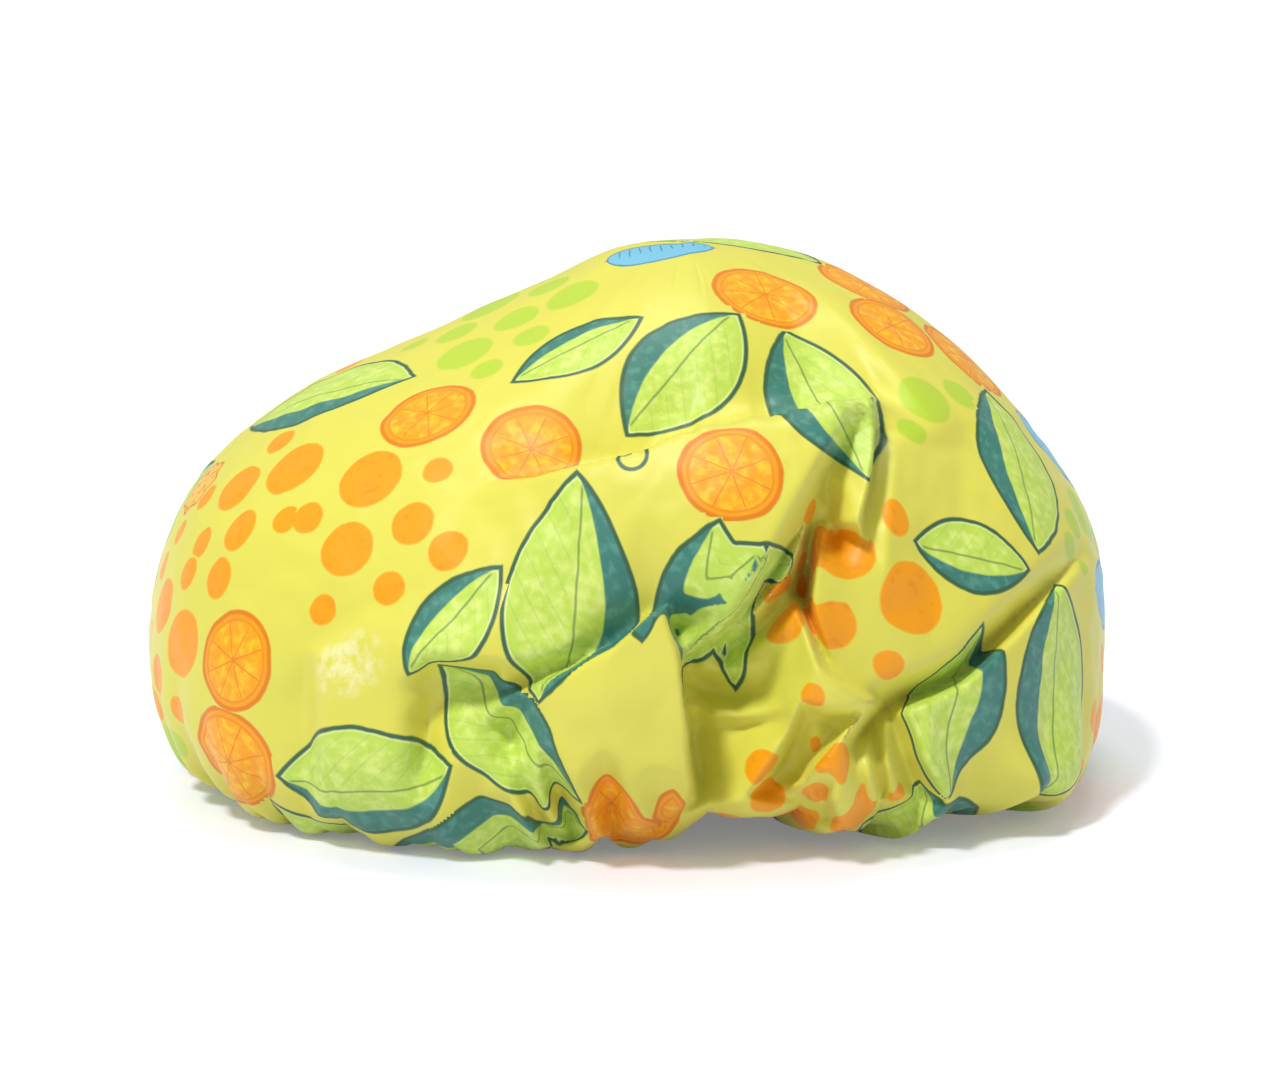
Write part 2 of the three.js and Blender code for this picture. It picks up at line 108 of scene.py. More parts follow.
@dataclass(frozen=True)
class PhotoView:
    """The place that the photograph was taken from.

    Its pixels are those of an image of 1270 by 1072, and azimuth 0 looks along +Y.
    """

    image_width: int = 1270
    image_height: int = 1072
    elevation: float = 11.0
    distance: float = 1.2
    target: tuple[float, float, float] = (0.002, 0.00653, 0.06473)
    cap_width: float = 0.26
    cap_pixels: int = 953
    sensor_width: float = 36.0

    @property
    def metres_per_pixel(self) -> float:
        """The photograph's scale, from how many of its pixels the cap spans."""
        return self.cap_width / self.cap_pixels

    @property
    def back(self) -> ndarray:
        """Direction from the target to the camera."""
        tilt = math.radians(self.elevation)
        return np.array([0.0, -math.cos(tilt), math.sin(tilt)])

    @property
    def up(self) -> ndarray:
        """The image's upward direction."""
        tilt = math.radians(self.elevation)
        return np.array([0.0, math.sin(tilt), math.cos(tilt)])

    @property
    def right(self) -> ndarray:
        """The image's rightward direction."""
        return np.array([1.0, 0.0, 0.0])

    @property
    def origin(self) -> ndarray:
        """The camera's place."""
        return np.array(self.target) + self.back * self.distance

    def ray(self, px: float, py: float) -> ndarray:
        """Gives the direction in which the camera sees a pixel.

        Args:
            px: Pixels from the image's left edge.
            py: Pixels from the image's top edge.

        Returns:
            A unit direction that leaves the camera.
        """
        across = (px - self.image_width / 2) * self.metres_per_pixel
        down = (py - self.image_height / 2) * self.metres_per_pixel
        away = across * self.right - down * self.up - self.distance * self.back
        return away / norm(away)

    def build(self) -> None:
        """Makes the camera and gives it to the scene."""
        lens = bpy.data.cameras.new("photo_camera")
        lens.sensor_width = self.sensor_width
        lens.lens = self.sensor_width * self.distance / (self.image_width * self.metres_per_pixel)
        camera = added("photo_camera", lens)
        camera.location = Vector(self.origin)
        camera.rotation_mode = "QUATERNION"
        camera.rotation_quaternion = Vector(-self.back).to_track_quat("-Z", "Y")
        bpy.context.scene.camera = camera


@dataclass(frozen=True)
class PuffedForm:
    """The cap's form before its folds, which the frame's solids share.

    Each row holds a share out from the pole to the hem's fold line, then right x and z, left x and z,
    front y and z, back y and z as shares of half the width, half the depth and the height, and how
    full the corners are.
    """

    width: float = 0.260
    depth: float = 0.236
    height: float = 0.147
    cut_radius: float = 0.270
    centre: Span = (-0.00046, 0.00653)
    row_shares: tuple[tuple[float, ...], ...] = (
        (0.0, 0.13, 1.0, 0.13, 1.0, 0.0, 1.0, 0.0, 1.0, 0.0),
        (0.06, 0.25, 0.995, 0.0, 0.98, -0.13, 0.99, 0.12, 0.98, 0.0),
        (0.14, 0.42, 0.955, -0.16, 0.92, -0.31, 0.95, 0.28, 0.92, 0.0),
        (0.28, 0.67, 0.81, -0.44, 0.81, -0.6, 0.82, 0.54, 0.755, 0.0),
        (0.42, 0.87, 0.62, -0.7, 0.7, -0.82, 0.67, 0.77, 0.57, 0.02),
        (0.56, 0.98, 0.445, -0.91, 0.53, -0.94, 0.465, 0.93, 0.37, 0.04),
        (0.68, 1.0, 0.26, -0.99, 0.33, -0.97, 0.27, 1.0, 0.195, 0.06),
        (0.79, 0.975, 0.093, -0.975, 0.145, -0.93, 0.083, 0.96, 0.072, 0.07),
        (0.87, 0.9, 0.0, -0.9, 0.01, -0.81, 0.0, 0.86, 0.0, 0.07),
        (0.94, 0.74, 0.0, -0.75, 0.0, -0.68, 0.0, 0.72, 0.0, 0.04),
        (1.0, 0.6, 0.062, -0.6, 0.062, -0.58, 0.062, 0.6, 0.062, 0.0),
    )

    def columns(self, shares: ndarray) -> list[ndarray]:
        """Reads the table's columns between its rows, on a smooth curve through them.

        Args:
            shares: Shares of the way out.

        Returns:
            Each column's values there.
        """
        table = np.array(self.row_shares)
        knots, values = table[:, 0], table[:, 1:]
        widths = np.diff(knots)
        slopes = np.diff(values, axis=0) / widths[:, None]
        tangents = np.empty_like(values)
        inner = slopes[:-1] * widths[1:, None] + slopes[1:] * widths[:-1, None]
        tangents[1:-1] = inner / (widths[1:] + widths[:-1])[:, None]
        tangents[0], tangents[-1] = slopes[0], slopes[-1]
        row = np.clip(np.searchsorted(knots, shares, side="right") - 1, 0, len(widths) - 1)
        t = ((shares - knots[row]) / widths[row])[..., None]
        span = widths[row][..., None]
        read = (
            (2 * t**3 - 3 * t**2 + 1) * values[row]
            + (t**3 - 2 * t**2 + t) * span * tangents[row]
            + (3 * t**2 - 2 * t**3) * values[row + 1]
            + (t**3 - t**2) * span * tangents[row + 1]
        )
        return [read[..., column] for column in range(values.shape[1])]

    def points(self, shares: ndarray, turns: ndarray) -> ndarray:
        """Gives points of the form.

        Args:
            shares: How far out from the pole, 1 at the hem's fold line.
            turns: The way round from +X, in radians.

        Returns:
            One point for each pair, in metres, in the frame's own axes.
        """
        right_x, right_z, left_x, left_z, front_y, front_z, back_y, back_z, corner = self.columns(shares)
        across, along = np.cos(turns), np.sin(turns)
        fullness = 1 + corner * np.sin(2 * turns) ** 2
        x = (right_x + left_x) / 2 + (right_x - left_x) / 2 * across
        y = (front_y + back_y) / 2 + (back_y - front_y) / 2 * along
        side_z = np.where(across > 0, right_z, left_z)
        end_z = np.where(along > 0, back_z, front_z)
        z = side_z * across**2 + end_z * along**2
        placed_x = x * fullness * self.width / 2 + self.centre[0]
        placed_y = y * fullness * self.depth / 2 + self.centre[1]
        return np.stack([placed_x, placed_y, z * self.height], -1)

    def flat(self, shares: ndarray, turns: ndarray) -> ndarray:
        """Gives places on the flat disc that the cloth was cut from, in metres."""
        reach = shares * self.cut_radius
        return np.stack([reach * np.cos(turns), reach * np.sin(turns)], -1)


@dataclass(frozen=True)
class ClothGrid:
    """Rings and turns that a sheet of the cap is cut into, finer where its folds are."""

    rings: int = 168
    turns: int = 552
    calm_rings: int = 34
    calm_share: float = 0.36
    crowding: float = 0.5
    crowded_degrees: float = 282.0

    def shares(self) -> ndarray:
        """Shares out from the pole, one for each ring."""
        rings = np.arange(self.rings + 1)
        return np.interp(rings, [0, self.calm_rings, self.rings], [0.0, self.calm_share, 1.0])

    def angles(self) -> ndarray:
        """The way round from +X of each turn, in radians."""
        even = np.arange(self.turns) * FULL_TURN / self.turns
        return even + self.crowding * np.sin(math.radians(self.crowded_degrees) - even)

    def mesh_shares(self) -> tuple[ndarray, ndarray]:
        """Shares and angles of every point of the grid."""
        return np.meshgrid(self.shares(), self.angles(), indexing="ij")


def surface_normals(points: ndarray) -> ndarray:
    """Gives the outward unit normals of a grid of rings and turns.

    Args:
        points: The grid, by ring and turn.

    Returns:
        A normal for each of its points.
    """
    outwards = np.gradient(points, axis=0)
    onwards = np.roll(points, -1, 1) - np.roll(points, 1, 1)
    normals = np.cross(outwards, onwards)
    normals[0] = (0.0, 0.0, 1.0)
    return normals / np.maximum(norm(normals, axis=-1, keepdims=True), TINY)


@dataclass(frozen=True)
class FoldLine:
    """A line of the cloth, marked in the photograph's pixels.

    Each mark is px, py, and how far the cloth there is moved towards the camera, and optionally up
    and right in the image, in millimetres. A crease keeps its sharp edge when the net is smoothed.
    """

    name: str
    marks: tuple[tuple[float, ...], ...]
    crease: bool = True


FOLD_LINES = (
    FoldLine("flap top", (
        (470, 497, 1), (520, 481, 7), (560, 469, 11.5), (600, 459, 14.5), (640, 450, 17), (700, 423, 21),
        (760, 414, 24), (800, 404, 26), (840, 396, 27.5), (874, 392, 28.5))),
    FoldLine("pocket behind the flap", (
        (490, 482, -1), (560, 457, -4, -4), (600, 448, -6, -5), (640, 439, -7, -6), (700, 412, -8, -6.5),
        (760, 402, -8, -6.5), (800, 392, -8, -6.5), (840, 384, -7, -6.5), (868, 380, -5, -5),
        (890, 388, -2, -3, -1)), False),
    FoldLine("flap roll", (
        (868, 398, 27.5), (850, 412, 26), (832, 440, 24.5), (815, 468, 23), (798, 500, 20.5),
        (782, 530, 18.5), (765, 560, 16.5), (748, 590, 14), (730, 617, 11), (706, 640, 8.5), (684, 651, 7)),
        False),
    FoldLine("flap edge", (
        (866, 404, 22), (852, 430, 15), (838, 455, 9), (826, 474, 5), (815, 500, 3), (803, 525, 1),
        (791, 545, -1), (780, 565, -2), (765, 590, -4), (750, 608, -5), (732, 628, -7), (712, 644, -9),
        (692, 656, -10))),
    FoldLine("slit", ((826, 474, 5), (826, 490, 1), (829, 508, -1), (832, 524, -1))),
    FoldLine("ear edge", (
        (874, 392, 28), (876, 431, 20), (874, 460, 17), (868, 493, 14), (859, 524, 12))),
    FoldLine("ear middle", ((864, 430, 17.5), (854, 460, 13), (846, 490, 9.5)), False),
    FoldLine("ear foot", ((832, 524, -1), (845, 524, 8), (859, 524, 12))),
    FoldLine("under the foot", ((832, 534, -5), (845, 534, -2, 1), (862, 536, 2, 1)), False),
    FoldLine("under the ear", (
        (884, 400, 5, 0, -3), (885, 431, 0, 0, -3), (883, 460, 0, 0, -3), (878, 495, 1, 0, -3),
        (870, 532, 2, 0, -2)), False),
    FoldLine("middle crest", ((894, 445, 4), (891, 480, 5), (888, 525, 6), (885, 575, 5), (881, 615, 3))),
    FoldLine("right valley", ((962, 430, -1), (962, 455, -2), (961, 490, -2), (958, 525, -1)), False),
    FoldLine("second roll", (
        (806, 520, 4), (797, 545, 5.5), (789, 565, 5.5), (776, 586, 4), (760, 604, 1), (742, 622, -3),
        (722, 640, -6), (704, 652, -8))),
    FoldLine("second roll foot", (
        (807, 548, -5), (798, 572, -6), (788, 594, -7), (772, 618, -8), (752, 636, -10), (728, 650, -11)),
        False),
    FoldLine("hole", ((813, 524, -4), (809, 545, -10), (806, 568, -14), (804, 592, -16)), False),
    FoldLine("right cloth edge", (
        (821, 532, 4), (818, 550, 4), (815, 575, 4), (813, 598, 3.5), (817, 620, 3), (824, 642, 2),
        (830, 658, 1))),
    FoldLine("star crest", (
        (797, 611, 4), (805, 628, 6), (812, 648, 8.5), (820, 668, 10.5), (838, 682, 12), (856, 693, 12),
        (872, 703, 11.5))),
    FoldLine("beside the star", (
        (807, 612, -6), (814, 633, -4), (821, 652, -3), (831, 668, -1), (846, 679, 1), (862, 689, 1),
        (880, 698, -4)), False),
    FoldLine("star left crest", (
        (797, 611, 4), (783, 625, 1.5), (768, 638, -2), (750, 650, -6), (728, 659, -9))),
    FoldLine("star seam", ((797, 611, 4), (797, 640, 2), (798, 668, 3), (802, 702, 7)), False),
    FoldLine("star shelf", ((802, 702, 7), (822, 709, 9), (846, 710, 10.5), (872, 703, 11.5))),
    FoldLine("under the star", ((810, 713, -3), (828, 719, -3), (846, 720, -1), (858, 714, 4)), False),
    FoldLine("star tail", (
        (872, 703, 11.5), (858, 722, 10), (842, 738, 10), (828, 754, 9), (814, 772, 8), (803, 792, 6))),
    FoldLine("tail valley", ((837, 733, -2), (822, 748, -4), (808, 764, -5), (795, 786, -6)), False),
    FoldLine("drape edge", (
        (802, 702, 7), (793, 722, 5), (783, 745, 4), (772, 765, 3.5), (757, 787, 3), (744, 808, 2))),
    FoldLine("beside the drape", (
        (804, 718, -4), (797, 735, -6), (787, 757, -8), (776, 776, -8), (764, 797, -7)), False),
    FoldLine("inner roll", ((694, 702, -10), (712, 713, -7), (740, 717, -5), (770, 713, -2), (788, 707, 2))),
    FoldLine("under the inner roll", (
        (698, 715, -13), (716, 725, -11), (742, 728, -9), (768, 724, -5), (785, 718, -1)), False),
    FoldLine("inner pocket", ((696, 684, -15), (714, 690, -15), (736, 692, -13), (757, 688, -9)), False),
    FoldLine("band crest", ((696, 667, -9), (714, 668, -8), (745, 668, -6), (772, 660, -4))),
    FoldLine("right of the tail", ((874, 716, -8), (864, 730, -7), (852, 744, -1))),
    FoldLine("pucker a", ((844, 750, 8), (838, 780, 10.5), (836, 810, 9.5), (842, 838, 5)), False),
    FoldLine("pucker a valley", ((852, 744, -1), (856, 768, 4), (862, 795, 2), (866, 826, -2))),
    FoldLine("pucker b", ((866, 748, 3), (869, 775, 8), (876, 806, 6))),
    FoldLine("pucker b valley", ((873, 735, -4), (879, 765, 0), (886, 800, -3))),
    FoldLine("pucker c", ((884, 730, 1), (889, 765, 7), (896, 800, 6))),
    FoldLine("pucker c valley", ((820, 800, -2), (826, 825, -4))),
    FoldLine("pucker d valley", ((893, 722, -5), (901, 752, -6), (910, 778, -8), (918, 800, -8))),
    FoldLine("pucker d", ((915, 732, 1), (928, 762, 5), (942, 790, 5), (950, 804, 3))),
    FoldLine("pucker e valley", ((955, 765, 0), (967, 787, -3), (972, 799, -3)), False),
    FoldLine("long valley", (
        (874, 716, -8), (884, 708, -10), (910, 697, -10), (940, 686, -10), (960, 674, -10),
        (982, 651, -9), (1010, 623, -8), (1046, 588, -5), (1080, 555, -1))),
    FoldLine("over the long valley", (
        (896, 678, 2), (930, 664, 3), (958, 650, 3), (985, 622, 4), (1015, 592, 4), (1045, 562, 3),
        (1080, 532, 2)), False),
    FoldLine("low facet", (
        (1092, 562, 3), (1054, 600, 3), (1018, 635, 3), (988, 664, 3), (963, 685, 3), (928, 702, 3),
        (904, 712, 1))),
    FoldLine("lobe top", (
        (505, 702, 2), (540, 685, 6), (571, 671, 10), (614, 648, 15), (640, 625, 18), (654, 611, 19))),
    FoldLine("lobe right", (
        (654, 611, 19), (664, 612, 19), (674, 640, 19), (681, 671, 18), (687, 724, 15), (690, 780, 10),
        (686, 808, 6))),
    FoldLine("lobe dent", ((652, 680, 15.5), (657, 715, 13), (659, 750, 11)), False),
    FoldLine("over the lobe", (
        (500, 692, -3), (538, 674, -3, -1), (569, 659, -2, -2), (611, 636, 0, -3), (636, 612, 2, -4),
        (655, 597, 4, -4)), False),
    FoldLine("lobe left", ((505, 702, -3), (508, 722, -6), (512, 742, -6))),
    FoldLine("beside the lobe", (
        (675, 606, 5, 0, -2), (684, 632, -4, 0, -3), (691, 668, -13, 0, -3), (697, 735, -15, 0, -2),
        (700, 780, -12, 0, -1), (697, 806, -7)), False),
    FoldLine("side valley", ((306, 650, -1), (308, 690, -4), (310, 750, -5), (313, 822, -4))),
    FoldLine("side ridge", ((318, 655, 2), (319, 700, 4), (320, 755, 5), (324, 820, 4)), False),
    FoldLine("cheek valley", ((427, 690, -3), (428, 720, -6), (429, 752, -5))),
    FoldLine("cheek ridge", ((397, 690, 3), (400, 720, 4), (406, 752, 4)), False),
    FoldLine("belly edge", (
        (352, 640, 2), (400, 648, 5), (428, 653, 8), (470, 658, 9), (505, 661, 8), (560, 650, 6))),
    FoldLine("under the belly", ((434, 668, -3), (465, 674, -6), (490, 678, -7)), False),
    FoldLine("crown valley", (
        (690, 270, 0), (745, 280, -2, -1), (782, 302, -4, -2), (802, 332, -5, -3), (812, 362, -5, -4)),
        False),
    FoldLine("brow", ((908, 432, 2), (926, 412, 5), (975, 410, 5), (1003, 401, 4)), False),
    FoldLine("gather one", ((352, 806, 0), (376, 813, -3), (395, 824, -4), (410, 850, -4)), False),
    FoldLine("gather one ridge", ((402, 796, 2), (424, 824, 4), (440, 850, 4)), False),
    FoldLine("gather two valley", ((452, 762, 0), (480, 795, -3), (505, 825, -5), (530, 850, -5))),
    FoldLine("gather two ridge", ((490, 762, 0), (508, 790, 3), (526, 820, 4), (542, 846, 3))),
    FoldLine("gather three valley", ((516, 765, -1), (530, 796, -3), (543, 822, -7), (555, 846, -6))),
    FoldLine("gather three ridge", ((522, 755, 0), (538, 785, 3), (551, 814, 2)), False),
    FoldLine("gather four valley", (
        (539, 746, 3), (551, 772, -2), (562, 794, -8), (568, 815, -11), (574, 838, -9))),
    FoldLine("gather four ridge", ((556, 750, 8), (575, 785, 8), (590, 812, 6), (598, 840, 4))),
    FoldLine("gather five valley", ((602, 750, 11), (608, 780, 2), (612, 812, -7), (618, 840, -7))),
    FoldLine("gather five ridge", ((624, 760, 12), (632, 790, 9), (638, 828, 5)), False),
    FoldLine("gather six valley", ((655, 766, 11), (660, 798, 2), (664, 830, -4))),
    FoldLine("left fold", ((196, 562, 1), (240, 545, 3), (286, 523, 2)), False),
    FoldLine("right corner", ((1084, 742, 2, 0, 1), (1056, 778, 6, -2, 5), (1020, 790, 9, -2, 7)), False),
)

CALM_MARKS = (
    (560, 520, 9), (640, 520, 13), (720, 490, 18), (600, 600, 8), (690, 580, 13), (760, 465, 21),
    (500, 530, 5), (520, 590, 7), (450, 550, 3), (450, 610, 5), (380, 600, 1), (400, 480, 0), (300, 560, 0),
    (220, 620, 0), (560, 380, 0), (640, 340, 0), (480, 420, 0), (715, 350, 0), (600, 280, 0), (900, 330, 0),
    (950, 372, 1), (850, 320, 0), (872, 352, 0), (804, 264, 0, -4), (640, 262, 0, -2), (560, 300, 0, -2),
    (925, 480, 1), (925, 540, 1), (1015, 480, 2), (1060, 450, 1), (930, 600, 1), (850, 570, 3), (850, 630, 1),
    (990, 560, 2), (600, 700, 14), (560, 720, 9), (620, 725, 13),
    (370, 700, 3), (360, 760, 3), (470, 730, -1), (250, 740, -1), (230, 680, 0),
    (1050, 740, 3), (1000, 745, 2), (1010, 795, 2), (1060, 660, 1),
    (755, 750, -1), (728, 750, -7), (718, 780, -7), (708, 803, -5), (738, 793, -1), (815, 735, 0),
)
"""Marks of the plain cloth between the fold lines, in the same terms."""


@dataclass
class FoldNet:
    """A net of flat facets over the cut disc that carries the folds from mark to mark.

    Rings of still places, each a share out and how many there are round it, hold the cloth where no
    mark lies near. The last ring lies outside the disc, so that the net covers all of it.
    """

    view: PhotoView
    form: PuffedForm
    grid: ClothGrid = ClothGrid(rings=120, turns=360)
    still_rings: tuple[tuple[float, int], ...] = (
        (0.0, 1), (0.06, 6), (0.25, 9), (0.45, 12), (0.65, 14), (0.85, 18), (0.97, 24), (1.2, 24))
    still_gap: float = 0.03
    knot_gap: float = 0.0003
    weld: float = 1e-7
    least_area: float = 1e-14
    edge_slack: float = 1e-6
    valley_gain: float = 1.35

    def __post_init__(self) -> None:
        """Lays the form out as a surface that rays can be cast on."""
        shares, turns = self.grid.mesh_shares()
        self._points = self.form.points(shares, turns).reshape(-1, 3)
        self._flat = self.form.flat(shares, turns).reshape(-1, 2)
        corners = np.arange(shares.size).reshape(shares.shape)
        near, far = corners[:-1], corners[1:]
        after = np.roll(corners, -1, 1)
        first = np.stack([near, far, after[1:]], -1).reshape(-1, 3)
        second = np.stack([near, after[1:], after[:-1]], -1).reshape(-1, 3)
        self._triangles = np.concatenate([first, second])
        self.tree = BVHTree.FromPolygons(self._points.tolist(), self._triangles.tolist())

    def place(self, mark: tuple[float, ...]) -> tuple[ndarray, ndarray]:
        """Finds where a mark of the photograph lies on the cloth.

        Args:
            mark: px, py, then millimetres towards the camera, up and right.

        Returns:
            The mark's place on the flat disc, and how far the cloth is moved there, in metres.
        """
        px, py, *moves = mark
        towards, rise, aside = (list(moves) + [0, 0])[:3]
        towards *= self.valley_gain if towards < 0 else 1
        ray = self.view.ray(px, py)
        move = MM * (-towards * ray + rise * self.view.up + aside * self.view.right)
        hit, _, index, _ = self.tree.ray_cast(Vector(self.view.origin), Vector(ray))
        if hit is None:
            LOG.info("the mark at %d, %d lies beside the cap, so its edge takes the move", px, py)
            ahead = self._points - self.view.origin
            aside_of_ray = norm(ahead - np.outer(ahead @ ray, ray), axis=1)
            return self._flat[int(aside_of_ray.argmin())], move
        corners = self._points[self._triangles[index]]
        flats = self._flat[self._triangles[index]]
        edges = np.stack([corners[1] - corners[0], corners[2] - corners[0]], -1)
        weights, *_ = np.linalg.lstsq(edges, np.array(hit) - corners[0], rcond=None)
        return flats[0] + weights[0] * (flats[1] - flats[0]) + weights[1] * (flats[2] - flats[0]), move

    def build(self) -> tuple[ndarray, ndarray, ndarray, list[ndarray]]:
        """Makes the net.

        Returns:
            Its knots on the flat disc, their moves, its triangles, and the creases as flat polylines.
        """
        knots: list[ndarray] = []
        moves: list[ndarray] = []
        edges: list[tuple[int, int]] = []
        creases: list[ndarray] = []

        def knot(flat: ndarray, move: ndarray) -> int:
            """Gives the number of the knot at a place, a new one where none lies there yet.

            Args:
                flat: The place on the cut.
                move: How far it is folded.

            Returns:
                The number.
            """
            for index, known in enumerate(knots):
                if norm(known - flat) < self.knot_gap:
                    return index
            knots.append(flat)
            moves.append(move)
            return len(knots) - 1

        for line in FOLD_LINES:
            placed = [self.place(mark) for mark in line.marks]
            chain = [knot(*found) for found in placed]
            edges.extend(zip(chain[:-1], chain[1:]))
            if line.crease:
                creases.append(np.array([found[0] for found in placed]))
        for mark in CALM_MARKS:
            knot(*self.place(mark))
        marked = np.array(knots)
        for share, count in self.still_rings:
            for step in range(count):
                turn = np.array((step + 0.5 * (count % 2)) * FULL_TURN / count)
                flat = self.form.flat(np.array(share), turn)
                if norm(marked - flat, axis=1).min() > self.still_gap:
                    knot(flat, np.zeros(3))
        found, _, triangles, origins, *_ = delaunay_2d_cdt(
            [Vector(flat) for flat in knots], edges, [], 0, self.weld)
        where = np.array([list(point) for point in found])
        carried = []
        for point, sources in zip(where, origins):
            if sources:
                carried.append(np.mean([moves[source] for source in sources], axis=0))
            else:
                LOG.info("two fold lines cross at %.3f, %.3f on the cut", *point)
                carried.append(moves[int(norm(np.array(knots) - point, axis=1).argmin())])
        return where, np.array(carried), np.array([t for t in triangles if len(t) == 3]), creases

    def moves_at(self, flats: ndarray) -> tuple[ndarray, ndarray]:
        """Reads the net at many places.

        Args:
            flats: Places on the disc, in a grid of rings and turns.

        Returns:
            The cloth's move at each place, and each place's distance to the nearest crease.
        """
        knots, carried, triangles, creases = self.build()
        places = flats.reshape(-1, 2)
        out = np.zeros((len(places), 3))
        for triangle in triangles:
            start, second, third = knots[triangle]
            sides = np.stack([second - start, third - start], -1)
            if abs(np.linalg.det(sides)) < self.least_area:
                continue
            low = np.minimum(np.minimum(start, second), third) - self.edge_slack
            high = np.maximum(np.maximum(start, second), third) + self.edge_slack
            near = np.flatnonzero(((places >= low) & (places <= high)).all(1))
            if not len(near):
                continue
            weights = (places[near] - start) @ np.linalg.inv(sides).T
            inside = (weights > -self.edge_slack).all(1) & (weights.sum(1) < 1 + self.edge_slack)
            rest = weights[inside]
            shares = np.concatenate([1 - rest.sum(1, keepdims=True), rest], 1)
            out[near[inside]] = shares @ carried[triangle]
        distance = np.full(len(places), np.inf)
        for crease in creases:
            for start, end in zip(crease[:-1], crease[1:]):
                along = end - start
                share = np.clip(((places - start) @ along) / max(along @ along, TINY), 0, 1)
                aside = places - start - share[:, None] * along
                distance = np.minimum(distance, norm(aside, axis=1))
        return out.reshape(*flats.shape[:-1], 3), distance.reshape(flats.shape[:-1])


@dataclass(frozen=True)
class HemGathers:
    """Pleats that the elastic draws the cloth into, few and wide higher up, many and narrow at the hem.

    Each row holds how many there are round the hem, the share where they start, how high they are,
    and how much of that height lies inside the form. Slow waves round the hem warp their spacing, and
    others make some of them higher.
    """

    rows: tuple[tuple[int, float, float, float], ...] = (
        (13, 0.60, 0.0036, 0.5), (37, 0.68, 0.0130, 0.7), (67, 0.82, 0.0240, 1.0))
    unevenness: float = 0.3
    back_share: float = 0.3
    warp_waves: tuple[int, ...] = (2, 3, 4, 5, 6, 7, 8, 9)
    warp_heights: Span = (0.3, 0.9)
    warp_per_pleat: float = 0.03
    swing_waves: tuple[int, int] = (3, 5)
    swing_middle: float = 0.5
    ramp_power: float = 1.2
    crest_power: float = 0.8
    seed: int = 7

    def rise(self, shares: ndarray, turns: ndarray) -> ndarray:
        """Gives how far the pleats lift the cloth along its normal.

        Args:
            shares: Shares of the way out.
            turns: Turns round the cap.

        Returns:
            The lift.
        """
        draw = np.random.default_rng(self.seed)
        warp = np.zeros_like(turns)
        for wave in self.warp_waves:
            height = draw.uniform(*self.warp_heights) / wave
            warp += height * np.sin(wave * turns + draw.uniform(0, FULL_TURN))
        rise = np.zeros_like(shares)
        fuller = 1 + self.back_share * np.sin(turns)
        for count, start, height, inside in self.rows:
            ramp = np.clip((shares - start) / (1 - start), 0, 1) ** self.ramp_power
            swing = np.ones_like(turns)
            for wave in self.swing_waves:
                swing *= np.sin(wave * turns + draw.uniform(0, FULL_TURN))
            height = height * fuller * (1 + self.unevenness * (swing - self.swing_middle))
            phase = count * turns / 2 + warp * (1 + count * self.warp_per_pleat) + draw.uniform(0, FULL_TURN)
            rise += height * ramp * (np.abs(np.sin(phase)) ** self.crest_power - inside)
        return rise


@dataclass(frozen=True)
class HemLifts:
    """Places where the hem stands off the table: share, degrees, spreads of both, and the rise."""

    rows: tuple[tuple[float, float, float, float, float], ...] = (
        (0.9, 285, 0.11, 11, 0.013), (0.9, 317, 0.11, 13, 0.0078), (0.9, 350, 0.1, 18, 0.0026),
        (0.88, 207, 0.11, 17, 0.006))

    def rise(self, shares: ndarray, turns: ndarray) -> ndarray:
        """Gives the rise of the cloth off the table.

        Args:
            shares: Shares of the way out.
            turns: Turns round the cap.

        Returns:
            The rise.
        """
        total = np.zeros_like(shares)
        for share, degrees, share_spread, degree_spread, height in self.rows:
            outwards = (shares - share) / share_spread
            around = ((np.degrees(turns) - degrees + 180) % 360 - 180) / degree_spread
            total += height * np.exp(-(outwards**2) - around**2)
        return total


